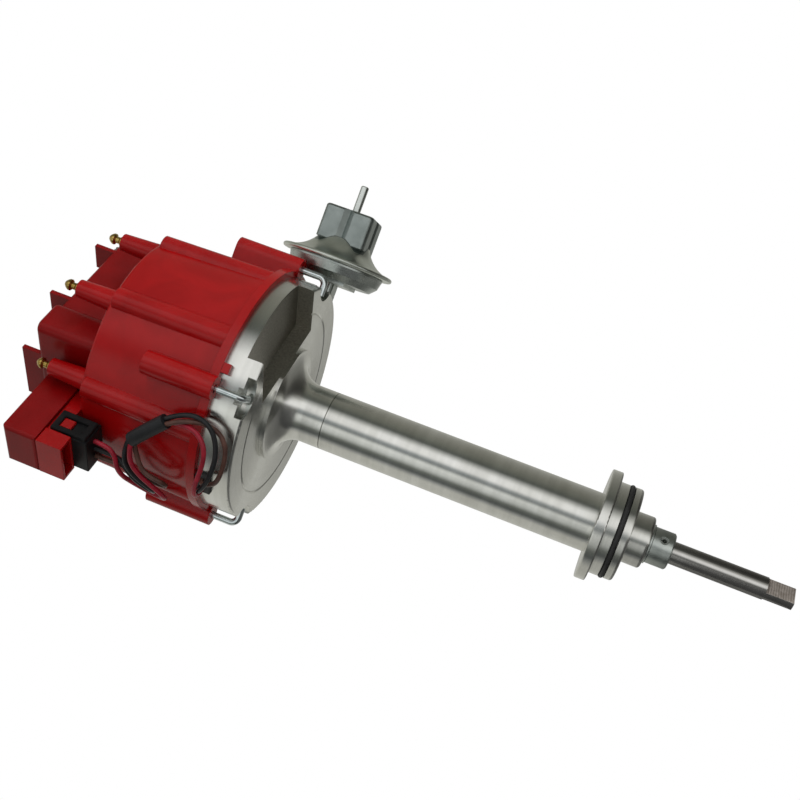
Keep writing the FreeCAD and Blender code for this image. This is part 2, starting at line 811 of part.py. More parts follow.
def make_cap():
    """The moulded cap: drafted wall, rim, eight ribs and towers, four latch lugs, inner posts."""
    body = new_body("cap")
    rim_top = s.bowl_rim + s.rim_height
    shoulder = s.cap_top - s.cap_shoulder
    revolve(body, [
        (0, s.bowl_rim),
        (s.rim_radius, s.bowl_rim),
        (s.rim_radius, rim_top),
        (s.cap_foot_radius, rim_top),
        (s.cap_shoulder_radius, s.cap_shoulder),
        (s.cap_shoulder_radius - shoulder, s.cap_top, shoulder, 1),
        (0, s.cap_top),
    ])
    add_ribs_and_towers(body)
    add_lugs(body)
    groove(body, [
        (s.bowl_wall_radius, s.lug_bottom - 1),
        (s.bowl_radius + s.end_gap, s.lug_bottom - 1),
        (s.bowl_radius + s.end_gap, s.bowl_rim),
        (s.bowl_wall_radius, s.bowl_rim),
    ])
    inside = cap_wall_radius(s.cap_shoulder) - s.cap_wall
    groove(body, [
        (0, s.bowl_rim),
        (s.register_radius + s.end_gap, s.bowl_rim),
        (s.register_radius + s.end_gap, s.bowl_rim + s.register_height + s.end_gap),
        (cap_wall_radius(rim_top) - s.cap_wall, rim_top),
        (inside, s.cap_top - s.cap_top_wall),
        (s.button_boss_radius, s.cap_top - s.cap_top_wall),
        (s.button_boss_radius, s.cap_top - s.cap_top_wall - s.button_boss_depth),
        (0, s.cap_top - s.cap_top_wall - s.button_boss_depth),
    ])
    add_locating_tab(body)
    add_inner_posts(body)
    drill_cap(body)
    add_connector(body)
    return body


def add_ribs_and_towers(body):
    rib = circles(body, "XY_Plane", [(s.rib_circle, 0, s.rib_radius)], s.bowl_rim)
    tower = circles(body, "XY_Plane", [(s.tower_circle, 0, s.tower_radius)], s.cap_shoulder - s.cap_top_wall)
    for sketch in (rib, tower):
        turn_sketch(sketch, s.first_tower_azimuth)
    rib_pad = pad(body, rib, s.cap_shoulder - s.bowl_rim, taper=-s.rib_taper)
    tower_pad = pad(body, tower, s.tower_top - s.cap_shoulder + s.cap_top_wall, taper=-s.tower_taper)
    around(body, [rib_pad, tower_pad], s.tower_count)


def add_lugs(body):
    """Bosses for the latch rods, each with a web back to the wall."""
    boss = circles(body, "XY_Plane", [(s.latch_circle, 0, s.lug_radius)], s.lug_bottom)
    boss_pad = pad(body, boss, s.lug_top - s.lug_bottom)
    web = rectangle(body, "XY_Plane", (s.cap_shoulder_radius, -s.lug_radius), (s.latch_circle, s.lug_radius),
                    s.bowl_rim)
    web_pad = pad(body, web, s.lug_top - s.bowl_rim)
    around(body, [boss_pad, web_pad], 4)


def add_locating_tab(body):
    """The small key under the rim that sets the cap's position on the bowl."""
    half = s.locating_tab_width / 2
    tab = rectangle(body, "XY_Plane", (s.bowl_radius + s.end_gap, -half), (s.rim_radius - s.end_gap, half),
                    s.bowl_rim - s.locating_tab_height)
    turn_sketch(tab, s.locating_tab_azimuth)
    pad(body, tab, s.locating_tab_height + s.rim_height / 2)


def add_inner_posts(body):
    """Posts inside the cap that carry the terminals' electrodes."""
    post = circles(body, "XY_Plane", [(s.inner_post_circle, 0, s.inner_post_radius)], s.inner_post_bottom)
    turn_sketch(post, s.first_tower_azimuth)
    post_pad = pad(body, post, s.cap_shoulder - s.inner_post_bottom)
    around(body, [post_pad], s.tower_count)


def drill_cap(body):
    """Bores for terminals, electrodes, carbon button, latch rods and their springs."""
    stem = circles(body, "XY_Plane", [(s.tower_circle, 0, s.terminal_stem)], s.electrode_top)
    blade = rectangle(body, "XY_Plane", (electrode_inner(), -s.electrode_half_width),
                      (s.tower_circle, s.electrode_half_width), s.electrode_bottom)
    for sketch in (stem, blade):
        turn_sketch(sketch, s.first_tower_azimuth)
    stem_bore = pocket(body, stem, s.tower_top - s.electrode_top, back=True)
    blade_height = s.electrode_top + 2 * s.electrode_half_width - s.electrode_bottom
    blade_slot = pocket(body, blade, blade_height, back=True)
    around(body, [stem_bore, blade_slot], s.tower_count)
    rod = circles(body, "XY_Plane", [(s.latch_circle, 0, s.latch_rod_radius + s.end_gap)], s.lug_bottom)
    rod_bore = pocket(body, rod, s.lug_shelf, back=True)
    spring = circles(body, "XY_Plane", [(s.latch_circle, 0, s.lug_bore)], s.lug_bottom + s.lug_shelf)
    spring_bore = pocket(body, spring, s.lug_top - s.lug_bottom - s.lug_shelf, back=True)
    around(body, [rod_bore, spring_bore], 4)
    button = circles(body, "XY_Plane", [(0, 0, s.button_radius)], button_bottom())
    pocket(body, button, s.cap_top - button_bottom(), back=True)


def button_bottom():
    return s.cap_top - s.cap_top_wall - s.button_boss_depth


def electrode_inner():
    return s.tower_circle - s.electrode_reach - 2 * s.electrode_half_width


def add_connector(body):
    """The connector moulded on the cap under the hood, with its battery and tachometer socket."""
    width = s.connector_half_width
    arm_width = s.plug_half_width - s.end_gap
    arm = rectangle(body, "XY_Plane", (s.cover_front + s.cover_gap, -arm_width),
                    (s.plug_outer + s.connector_wall, arm_width), s.connector_arm_bottom)
    inner = s.plug_outer + s.end_gap
    outer = s.hood_outer - s.cover_gap
    wall = s.connector_wall
    block = rectangle(body, "XY_Plane", (inner, -width), (outer, width), s.connector_bottom)
    hollow = rectangle(body, "XY_Plane", (inner + wall, -width + wall), (outer - wall, width - wall),
                       s.connector_bottom)
    for sketch in (arm, block, hollow):
        turn_sketch(sketch, s.cover_azimuth)
    pad(body, arm, s.hood_bottom - s.cover_gap - s.connector_arm_bottom)
    pad(body, block, s.hood_bottom - s.cover_gap - s.connector_bottom)
    pocket(body, hollow, s.hood_bottom - s.connector_wall - s.cover_wall - s.connector_bottom, back=True)


def make_terminal(number):
    """A brass tower terminal with its stem and the electrode inside the cap."""
    azimuth = s.first_tower_azimuth + number * ROUND / s.tower_count
    body = new_body(f"spark_terminal_{number + 1}", azimuth)
    centre = s.tower_circle
    neck_top = s.terminal_top - s.terminal_bulb - s.terminal_nose / 2
    revolve_about(body, centre, [
        (0, s.electrode_top),
        (s.terminal_stem, s.electrode_top),
        (s.terminal_stem, s.tower_top),
        (s.terminal_ring, s.tower_top),
        (s.terminal_ring, s.tower_top + s.terminal_stem / 2),
        (s.terminal_neck, s.tower_top + s.terminal_stem),
        (s.terminal_neck, neck_top),
        (s.terminal_bulb, neck_top + s.terminal_neck / 2),
        (s.terminal_bulb, s.terminal_top - s.terminal_nose),
        (s.terminal_nose / 2, s.terminal_top, 2 * s.terminal_bulb, 1),
        (0, s.terminal_top),
    ])
    arm = rectangle(body, "XY_Plane", (electrode_inner(), -s.electrode_half_width),
                    (centre, s.electrode_half_width), s.electrode_top)
    pad(body, arm, 2 * s.electrode_half_width)
    blade = rectangle(body, "XY_Plane", (electrode_inner(), -s.electrode_half_width),
                      (electrode_inner() + 2 * s.electrode_half_width, s.electrode_half_width),
                      s.electrode_bottom)
    pad(body, blade, s.electrode_top + s.electrode_half_width - s.electrode_bottom)
    return body


def revolve_about(body, centre, points):
    """Revolves an outline about an upright line at a distance from the body's origin."""
    sketch = outline(body, "XZ_Plane", [(centre + point[0], *point[1:]) for point in points])
    across = as_size(centre).number
    foot = FreeCAD.Vector(across, 0, 0)
    line = sketch.addGeometry(Part.LineSegment(foot, foot + FreeCAD.Vector(0, 10, 0)), True)
    pin_point(sketch, line, 1, centre, 0)
    pin_point(sketch, line, 2, centre, 10)
    return turn(body, "PartDesign::Revolution", sketch, "Axis0")


def make_coil_cover():
    """The cover over the coil: a shell with its bulge, three upright flaps and the connector hood."""
    body = new_body("coil_cover", s.cover_azimuth)
    bottom = s.cap_top + s.cover_gap
    height = s.cover_top - bottom
    add_box(body, s.cover_back, s.cover_front, s.cover_half_width, bottom, height)
    add_box(body, s.bulge_back, s.cover_front, s.bulge_half_width, bottom, height)
    corner = s.cover_front.number - 0.01
    side = s.cover_half_width.number + 0.01
    fillet(body, s.cover_round, lambda edge: vertical(edge) and (
        abs(edge.CenterOfMass.x) > corner or abs(edge.CenterOfMass.y) > side))
    fillet(body, s.cover_round / 2, lambda edge: all_at_height(edge, s.cover_top))
    hollow = rectangle(body, "XY_Plane", (s.cover_back + s.cover_wall, -s.cover_half_width + s.cover_wall),
                       (s.cover_front - s.cover_wall, s.cover_half_width - s.cover_wall), bottom)
    pocket(body, hollow, height - s.cover_wall, back=True)
    hood = rectangle(body, "XY_Plane", (s.hood_inner, -s.hood_half_width), (s.hood_outer, s.hood_half_width),
                     s.hood_bottom)
    pad(body, hood, s.hood_top - s.hood_bottom)
    outer = s.hood_outer.number
    fillet(body, s.hood_round, lambda edge: all(abs(vertex.X - outer) < 0.01 for vertex in edge.Vertexes))
    inside = rectangle(body, "XY_Plane", (s.cover_front + s.cover_wall, -s.hood_half_width + s.cover_wall),
                       (s.hood_outer - s.cover_wall, s.hood_half_width - s.cover_wall), s.hood_bottom)
    pocket(body, inside, s.hood_top - s.hood_bottom - s.cover_wall, back=True)
    for place in (s.rear_flap, s.middle_flap):
        for side in (1, -1):
            add_flap(body, place, side * s.flap_inner, side * s.cover_half_width)
    add_flap(body, s.end_flap, -s.end_flap_half_width, s.end_flap_half_width)
    holes = [(across, along, s.screw_radius + s.cover_gap) for across, along in cover_screw_places()]
    pocket(body, circles(body, "XY_Plane", holes, s.cap_top), s.cover_top, back=True)
    return body


def cover_screw_places():
    """The four screws that hold the cover down, along and across the cover."""
    return [(s.cover_screw_back, s.cover_screw_side), (s.cover_screw_back, -s.cover_screw_side),
            (s.cover_screw_front, s.cover_screw_side), (s.cover_screw_front, -s.cover_screw_side)]


def add_box(body, back, front, half_width, bottom, height):
    return pad(body, rectangle(body, "XY_Plane", (back, -half_width), (front, half_width), bottom), height)


def add_flap(body, place, start, finish):
    """An upright flap across the cover, thin along it."""
    half = s.flap_thickness / 2
    low, high = (start, finish) if as_size(start).number < as_size(finish).number else (finish, start)
    flap = rectangle(body, "XY_Plane", (place - half, low), (place + half, high), s.cover_top - s.cover_wall)
    return pad(body, flap, s.flap_height + s.cover_wall)


def make_cover_screws():
    """Screws on top of the cover, each with a slotted head, biting into the cap's top."""
    body = new_body("cover_screws", s.cover_azimuth)
    places = cover_screw_places()
    shank = circles(body, "XY_Plane", [(x, y, s.screw_radius) for x, y in places], s.cap_top + s.cover_gap)
    head = circles(body, "XY_Plane", [(x, y, s.screw_head_radius) for x, y in places], s.cover_top)
    first = pad(body, head, s.screw_head_height)
    body.Tip = first
    pad(body, shank, s.cover_top - s.cap_top - s.cover_gap)
    for across in (s.cover_screw_back, s.cover_screw_front):
        slot = rectangle(body, "XY_Plane", (across - s.screw_slot / 2, -s.cover_half_width),
                         (across + s.screw_slot / 2, s.cover_half_width),
                         s.cover_top + s.screw_head_height / 2)
        pocket(body, slot, s.screw_head_height, back=True)
    return body


def make_coil_core():
    """The coil's laminated frame: two legs and two yokes round the winding, with the centre limb."""
    body = new_body("coil_core", s.cover_azimuth)
    low = (s.coil_bottom + s.coil_top) / 2 - s.coil_plate
    frame = rectangle(body, "XY_Plane", (-s.coil_half_length, -s.coil_half_width),
                      (s.coil_half_length, s.coil_half_width), low)
    pad(body, frame, 2 * s.coil_plate)
    for side in (1, -1):
        start = side * (s.coil_leg / 2 + s.end_gap)
        finish = side * (s.coil_half_width - s.coil_leg)
        low_side, high_side = (start, finish) if side > 0 else (finish, start)
        window = rectangle(body, "XY_Plane", (-s.coil_half_length + s.coil_leg, low_side),
                           (s.coil_half_length - s.coil_leg, high_side), low)
        pocket(body, window, 2 * s.coil_plate, back=True)
    return body


def make_winding():
    """The coil's potted winding, standing through the frame's windows on the cap's seal."""
    body = new_body("coil_winding", s.cover_azimuth)
    middle = (s.coil_bottom + s.coil_top) / 2
    half_length = s.coil_half_length - s.coil_leg - s.end_gap
    half_width = s.coil_half_width - s.coil_leg - s.end_gap
    block = rectangle(body, "XY_Plane", (-half_length, -half_width), (half_length, half_width),
                      s.coil_bottom)
    pad(body, block, s.coil_top - s.coil_bottom)
    limb = rectangle(body, "XY_Plane", (-half_length - 1, -s.coil_leg / 2 - 2 * s.end_gap),
                     (half_length + 1, s.coil_leg / 2 + 2 * s.end_gap), middle - s.coil_plate - s.end_gap)
    pocket(body, limb, 2 * s.coil_plate + 2 * s.end_gap, back=True)
    return body


def make_seal():
    """The rubber seal between coil and cap, round the carbon button's bore."""
    body = new_body("coil_seal")
    rings = circles(body, "XY_Plane", [(0, 0, s.seal_radius), (0, 0, s.button_radius)], s.cap_top)
    pad(body, rings, s.coil_bottom - s.cap_top)
    return body


def make_button():
    """The carbon button, sprung down through the cap onto the rotor's blade."""
    body = new_body("carbon_button")
    pad(body, circles(body, "XY_Plane", [(0, 0, s.button_radius - s.running_gap)],
                      blade_top() + s.end_gap), s.coil_bottom - blade_top() - s.end_gap)
    foot = blade_top() + s.end_gap
    fillet(body, s.button_radius / 2, lambda edge: all_at_height(edge, foot))
    return body


def blade_top():
    return s.rotor_bottom + s.rotor_height + s.blade_thickness


def make_plug():
    """The three-way plug pushed up into the cap, with its slotted latch lever."""
    body = new_body("harness_plug", s.cover_azimuth)
    width = s.plug_half_width
    shell = rectangle(body, "XY_Plane", (s.plug_inner, -width), (s.plug_outer, width), s.plug_bottom)
    pad(body, shell, s.connector_arm_bottom - s.end_gap - s.plug_bottom)
    fillet(body, s.end_gap * 3, vertical)
    lever = rectangle(body, "XY_Plane", (s.plug_inner, width),
                      (s.plug_outer - s.lever_gap, width + s.lever_thickness), s.plug_bottom)
    pad(body, lever, s.plug_top - s.plug_bottom)
    slot = rectangle(body, "XZ_Plane", (s.plug_inner + s.lever_gap, s.plug_bottom + s.lever_gap * 2),
                     (s.plug_inner + s.lever_gap + s.lever_slot_width, s.plug_top - s.lever_gap))
    pocket(body, slot, width + 2 * s.lever_thickness, back=True)
    places = [(wire_exit_along(), across, s.wire_radius + 0.1) for across in wire_exits()]
    pocket(body, circles(body, "XY_Plane", places, s.plug_bottom), s.wire_seat, back=True)
    return body


def wire_exit_along():
    return (s.plug_inner + s.plug_outer) / 2


def wire_exits():
    """Where the three wires leave the plug, across the cover's axis, from the near side."""
    return [s.wire_spacing, Size(0.0, "0"), -s.wire_spacing]


def make_grommet():
    """The rubber grommet that brings the harness through the bowl's wall under the cap."""
    body = new_body("wire_grommet", s.grommet_azimuth)
    half = s.grommet_width / 2 - s.cover_gap
    block = rectangle(body, "XY_Plane", (s.bowl_wall_radius - 1, -half),
                      (s.bowl_radius + s.grommet_stand, half), s.grommet_bottom + s.cover_gap)
    pad(body, block, s.bowl_rim - s.grommet_bottom - 2 * s.cover_gap)
    fillet(body, s.grommet_round, lambda edge: vertical(edge) and edge.CenterOfMass.x > s.bowl_radius.number)
    places = [(across, s.wire_entry_height, s.wire_radius + 0.1)
              for across in (-s.wire_entry_spacing, Size(0.0, "0"), s.wire_entry_spacing)]
    pocket(body, circles(body, "YZ_Plane", places, s.bowl_radius + s.grommet_stand), s.grommet_stand + 1)
    return body


WIRE_ROUTES = {
    # Chosen by hand from the photograph: out of the plug, down past the rear lug, back up
    # through the sleeve, over the rim and into the grommet. A point is its azimuth, its
    # distance off the bowl's radius and its height over the bowl's rim.
    "wire_red": [
        (-130.55, 8.12, 60.3), (-130.55, 8.12, 48.9), (-133.2, 9.2, 43.7), (-138.38, 10.86, 42.3),
        (-143.99, 10.21, 40.1), (-150.51, 7.8, 36.7), (-155.99, 6.79, 31.1), (-157.53, 7.0, 23.5),
        (-153.5, 8.37, 17.1), (-147.8, 10.37, 15.1), (-142.58, 11.56, 17.9), (-139.41, 11.59, 23.3),
        (-136.2, 11.65, 28.5), (-132.59, 11.42, 32.5), (-127.61, 11.39, 33.8), (-121.48, 11.04, 33.7),
        (-115.17, 11.26, 25.9), (-108.48, 11.05, 16.4), (-107.23, 11.64, 7.7), (-107.38, 11.6, -0.5),
        (-111.0, 11.79, -6.5), (-117.04, 12.0, -7.9), (-124.0, 12.14, -6.7), (-130.2, 12.56, -4.7),
        (-136.31, 11.23, -4.1), (-140.32, 6.09, -4.1), (-140.69, -0.26, -4.1),
    ],
    "wire_black": [
        (-135.0, 7.82, 60.3), (-135.0, 7.82, 48.9), (-136.27, 6.99, 41.9), (-139.38, 9.39, 37.1),
        (-143.59, 9.62, 33.1), (-147.61, 9.0, 28.5), (-148.8, 9.16, 21.9), (-143.98, 11.21, 20.9),
        (-141.03, 11.37, 27.5), (-136.81, 11.39, 34.1), (-130.96, 10.99, 37.7), (-120.38, 9.3, 35.7),
        (-114.04, 9.88, 27.7), (-107.25, 9.86, 18.2), (-102.8, 9.56, 8.3), (-101.87, 9.38, -0.1),
        (-104.41, 8.96, -7.1), (-109.5, 8.79, -11.3), (-115.94, 8.78, -12.9), (-123.0, 9.18, -11.9),
        (-129.21, 9.85, -9.5), (-133.98, 9.95, -6.3), (-136.98, 6.38, -4.1), (-137.0, -0.34, -4.1),
    ],
    "wire_brown": [
        (-139.45, 8.12, 60.3), (-139.45, 8.12, 48.9), (-140.61, 6.55, 40.9), (-142.03, 6.33, 34.1),
        (-143.98, 6.27, 27.5), (-144.4, 6.36, 20.5), (-141.84, 7.8, 14.1), (-136.97, 10.62, 14.3),
        (-135.4, 11.35, 21.1), (-133.39, 10.96, 26.7), (-129.4, 9.54, 29.9), (-121.75, 8.33, 33.7),
        (-115.22, 8.53, 25.9), (-108.3, 8.33, 16.4), (-104.82, 6.84, 5.9), (-103.96, 6.03, -2.9),
        (-105.59, 5.77, -10.5), (-109.81, 5.85, -15.5), (-115.78, 6.01, -17.1), (-122.39, 6.39, -16.3),
        (-128.45, 6.19, -14.3), (-131.75, 5.53, -10.3), (-133.65, 5.36, -4.1), (-133.36, -0.22, -4.1),
    ],
}

SLEEVE_ROUTE = [(-121.3, 9.15, 34.0), (-114.82, 9.93, 26.5), (-108.02, 9.79, 17.0)]


def route_points(route):
    """A route's points in the part's frame, about the bowl as it now is."""
    points = []
    for azimuth, stand, rise in route:
        reach = s.bowl_radius.number + stand
        turned = math.radians(azimuth)
        points.append((reach * math.cos(turned), reach * math.sin(turned), s.bowl_rim.number + rise))
    return points


def make_latch_hook(number):
    """A latch: slotted head, rod down through the lug and a foot bent in under the bowl."""
    azimuth = number * ROUND / 4
    head_bottom = s.latch_head_top - s.latch_head_height
    foot = s.latch_foot_height.number
    inner = (s.latch_circle - s.latch_foot_length).number
    place = s.latch_circle.number
    points = [(place, 0, head_bottom.number), (place, 0, foot), (inner, 0, foot)]
    rod, _, _ = tube(points, s.latch_rod_radius.number, s.latch_bend.number)
    at_head = FreeCAD.Vector(place, 0, head_bottom.number)
    head = Part.makeCylinder(s.latch_head_radius.number, s.latch_head_height.number, at_head)
    slot_low = FreeCAD.Vector(place - s.latch_head_radius.number, -s.screw_slot.number / 2,
                              s.latch_head_top.number - s.screw_slot.number)
    slot = Part.makeBox(2 * s.latch_head_radius.number, s.screw_slot.number, 2 * s.screw_slot.number,
                        slot_low)
    return shape_object(f"latch_hook_{number + 1}", rod.fuse(head).cut(slot).removeSplitter(), azimuth)


def make_latch_spring(number):
    """The spring in the lug that holds the latch up by its head."""
    low = s.lug_bottom + s.lug_shelf + s.cover_gap
    high = s.latch_head_top - s.latch_head_height - s.cover_gap
    foot = FreeCAD.Vector(s.latch_circle.number, 0, low.number)
    spring = coil_spring(foot, s.latch_spring_radius.number, s.spring_wire.number, (high - low).number, 6)
    return shape_object(f"latch_spring_{number + 1}", spring, number * ROUND / 4)


def lay_along_x(piece):
    """Turns a piece made along Z so that it lies along +X on the canister's axis."""
    piece.Placement = FreeCAD.Placement(
        FreeCAD.Vector(0, s.canister_offset.number, s.canister_height.number),
        FreeCAD.Rotation(FreeCAD.Vector(0, 1, 0), 90))
    bind(piece, "Placement.Base.y", s.canister_offset)
    bind(piece, "Placement.Base.z", s.canister_height)


def make_vacuum_cover():
    """The pressed cover: rolled rim, hollow flare, and the creased box end that carries the nipple."""
    body = new_body("vacuum_cover")
    skin = s.canister_skin
    face = s.canister_face
    rim = s.canister_rim
    revolve(body, [
        (0, face),
        (s.canister_rim_radius - rim / 2, face),
        (s.canister_rim_radius, face + rim / 2, rim / 2, 1),
        (s.canister_rim_radius - rim / 2, face + rim, rim / 2, 1),
        (s.flare_start, face + rim),
        (s.canister_box_half, s.canister_neck, s.flare_curve, -1),
        (0, s.canister_neck),
    ])
    box = rectangle(body, "XY_Plane", (-s.canister_box_half, -s.canister_box_half),
                    (s.canister_box_half, s.canister_box_half), s.canister_neck - 3 * skin)
    pad(body, box, s.box_length + 3 * skin)
    crease_box(body)
    groove(body, [
        (0, face - 1),
        (s.flare_start - rim, face - 1),
        (s.flare_start - rim, face + skin),
        (s.canister_box_half - 2 * skin, s.canister_neck - skin, s.flare_curve + skin, -1),
        (s.canister_box_half - 4 * skin, s.canister_box_end - 2 * skin),
        (0, s.canister_box_end - 2 * skin),
    ])
    bore = circles(body, "XY_Plane", [(0, 0, s.nipple_radius)], s.canister_box_end - 3 * skin)
    pocket(body, bore, 4 * skin, back=True)
    lay_along_x(body)
    return body


def crease_box(body):
    """Rounds the box end and presses a shallow V crease halfway along each of its sides."""
    half = s.canister_box_half
    corner = half.number * 1.3
    fillet(body, s.box_corner, lambda edge: vertical(edge) and edge.CenterOfMass.sub(
        FreeCAD.Vector(0, 0, edge.CenterOfMass.z)).Length > corner)
    end = s.canister_box_end
    fillet(body, s.box_corner / 2, lambda edge: all_at_height(edge, end))
    crease = outline(body, "XY_Plane", [(half + 1, -s.crease_width), (half + 1, s.crease_width),
                                        (half - s.crease_depth, 0)], s.canister_neck - 1)
    valley = pocket(body, crease, s.box_length + 2, back=True)
    around(body, [valley], 4)


def make_vacuum_cup():
    """The cup behind the diaphragm, crimped under the cover's rim."""
    body = new_body("vacuum_cup")
    face = s.canister_face - s.cover_gap
    low = face - s.cup_depth
    skin = s.canister_skin
    revolve(body, [
        (s.rod_radius + s.end_gap, low),
        (s.cup_radius - 3 * skin, low),
        (s.cup_radius, low + 3 * skin),
        (s.cup_radius + skin, face - skin),
        (s.flare_start - s.canister_rim, face - skin),
        (s.flare_start - s.canister_rim, face),
        (s.cup_radius, face),
        (s.cup_radius - skin, low + 3 * skin),
        (s.cup_radius - 4 * skin, low + skin),
        (s.rod_radius + s.end_gap, low + skin),
    ])
    lay_along_x(body)
    return body


def make_nipple():
    """The hose nipple, a tube with a shoulder against the box end."""
    body = new_body("vacuum_nipple")
    start = s.canister_box_end - 3 * s.canister_skin
    revolve(body, [
        (s.nipple_bore, start),
        (s.nipple_radius, start),
        (s.nipple_radius, s.canister_box_end),
        (s.nipple_radius + 1, s.canister_box_end),
        (s.nipple_radius + 1, s.canister_box_end + s.canister_skin),
        (s.nipple_radius, s.canister_box_end + s.canister_skin),
        (s.nipple_radius, s.nipple_end - s.nipple_chamfer),
        (s.nipple_radius - s.nipple_chamfer, s.nipple_end),
        (s.nipple_bore, s.nipple_end),
    ])
    lay_along_x(body)
    return body


def diaphragm_face():
    return s.canister_face - s.cup_depth / 2 + s.rod_stroke / 2


def make_diaphragm():
    """The rubber diaphragm between its two pressed dishes, riveted to the rod."""
    body = new_body("diaphragm")
    middle = diaphragm_face()
    skin = s.canister_skin
    revolve(body, [
        (s.rod_radius, middle - skin),
        (s.cup_radius - 4 * skin, middle - skin),
        (s.cup_radius - 3 * skin, middle - skin / 2),
        (s.cup_radius - 3 * skin, middle),
        (s.cup_radius - 5 * skin, middle + skin),
        (s.rod_radius, middle + skin),
    ])
    lay_along_x(body)
    return body


def make_rod():
    """The pull rod from the diaphragm to the pick-up plate's pin, with an eye at its inner end."""
    body = new_body("diaphragm_rod")
    length = diaphragm_face() + s.canister_skin - s.rod_start
    shank = circles(body, "YZ_Plane", [(s.canister_offset, s.canister_height, s.rod_radius)], s.rod_start)
    pad(body, shank, length)
    rings = [(0, s.canister_offset, s.rod_eye), (0, s.canister_offset, s.plate_pin_radius + s.pin_play)]
    pad(body, circles(body, "XY_Plane", rings, s.canister_height - s.rod_radius / 2), s.rod_radius)
    return body


def make_vacuum_spring():
    """The spring in the canister's neck that pushes the diaphragm back."""
    low = diaphragm_face() + s.canister_skin + s.rod_stroke + s.cover_gap
    high = s.canister_box_end - 2 * s.canister_skin - s.cover_gap
    spring = coil_spring(FreeCAD.Vector(), s.vacuum_spring_radius.number, s.spring_wire.number,
                         (high - low).number, 6)
    piece = doc.addObject("Part::Feature", "vacuum_spring")
    piece.Label = "vacuum_spring"
    piece.Shape = spring
    lay_along_x(piece)
    piece.Placement.Base.x = low.number + s.spring_wire.number
    return piece


def make_pickup_plate():
    """The plate that turns on the housing's hub and carries the pick-up, with its arm and pin."""
    body = new_body("pickup_plate")
    ring = circles(body, "XY_Plane", [(0, 0, s.plate_radius), (0, 0, s.hub_radius + s.running_gap)],
                   s.plate_bottom)
    pad(body, ring, s.plate_thickness)
    pin = circles(body, "XY_Plane", [(0, s.canister_offset, s.plate_pin_radius)],
                  s.canister_height - s.rod_radius)
    pad(body, pin, s.plate_bottom - s.canister_height + s.rod_radius)
    return body


def make_magnet():
    body = new_body("pickup_magnet")
    ring = [(0, 0, s.plate_radius), (0, 0, s.magnet_inner)]
    pad(body, circles(body, "XY_Plane", ring, s.plate_bottom + s.plate_thickness), s.magnet_height)
    return body


def make_pickup_coil():
    """The pick-up's bobbin inside the magnet ring, with its flanges and winding."""
    body = new_body("pickup_coil")
    low = s.plate_bottom + s.plate_thickness
    flange = s.plate_thickness / 2
    revolve(body, [
        (s.winding_inner, low),
        (s.winding_outer, low),
        (s.winding_outer, low + flange),
        (s.winding_outer - 1, low + flange),
        (s.winding_outer - 1, low + s.magnet_height - flange),
        (s.winding_outer, low + s.magnet_height - flange),
        (s.winding_outer, low + s.magnet_height),
        (s.winding_inner, low + s.magnet_height),
    ])
    return body


def pole_bottom():
    return s.plate_bottom + s.plate_thickness + s.magnet_height


def make_pole_piece():
    """The pole piece: a flat ring over the magnet with eight teeth pointing in."""
    body = new_body("pole_piece")
    ring = circles(body, "XY_Plane", [(0, 0, s.plate_radius), (0, 0, s.pole_inner)], pole_bottom())
    pad(body, ring, s.pole_thickness)
    tooth = outline(body, "XY_Plane", [
        (s.pole_tooth_radius + s.cover_gap, -s.tooth_half_width / 2),
        (s.pole_inner + 1, -s.tooth_half_width),
        (s.pole_inner + 1, s.tooth_half_width),
        (s.pole_tooth_radius + s.cover_gap, s.tooth_half_width / 2),
    ], pole_bottom())
    around(body, [pad(body, tooth, s.pole_thickness)], s.tower_count)
    return body


def make_timer_core():
    """The timer core and its sleeve on the shaft: eight teeth that sweep past the pole piece."""
    body = new_body("timer_core")
    bore = s.journal_radius + s.running_gap
    pad(body, circles(body, "XY_Plane", [(0, 0, s.sleeve_radius), (0, 0, bore)], s.sleeve_bottom),
        s.base_bottom - s.sleeve_bottom)
    core_low = pole_bottom() - s.core_height / 2 + s.pole_thickness
    pad(body, circles(body, "XY_Plane", [(0, 0, s.core_radius), (0, 0, s.sleeve_radius - 1)], core_low),
        s.core_height)
    tooth = outline(body, "XY_Plane", [
        (s.core_radius - 1, -s.tooth_half_width),
        (s.core_tooth_radius, -s.tooth_half_width / 2),
        (s.core_tooth_radius, s.tooth_half_width / 2),
        (s.core_radius - 1, s.tooth_half_width),
    ], core_low)
    around(body, [pad(body, tooth, s.core_height)], s.tower_count)
    return body


def make_weight_base():
    """The plate on top of the sleeve that carries the weights' pivots and the rotor."""
    body = new_body("weight_base")
    bore = s.journal_radius + s.running_gap
    plate = circles(body, "XY_Plane", [(0, 0, s.base_radius), (0, 0, bore)], s.base_bottom)
    pad(body, plate, s.base_thickness)
    top = s.base_bottom + s.base_thickness
    pivots = circles(body, "XY_Plane", [(0, side * s.weight_pivot, s.pivot_radius) for side in (1, -1)], top)
    pad(body, pivots, s.weight_thickness + 1)
    posts = circles(body, "XY_Plane", [(x, y, s.screw_radius * 1.6) for x, y in rotor_screw_places()], top)
    pad(body, posts, s.rotor_bottom - top)
    holes = circles(body, "XY_Plane", [(x, y, s.screw_radius * 0.7) for x, y in rotor_screw_places()], top)
    pocket(body, holes, s.rotor_bottom - top + 1, back=True)
    return body


def rotor_screw_places():
    return [(s.rotor_screw_circle, 0), (-s.rotor_screw_circle, 0)]


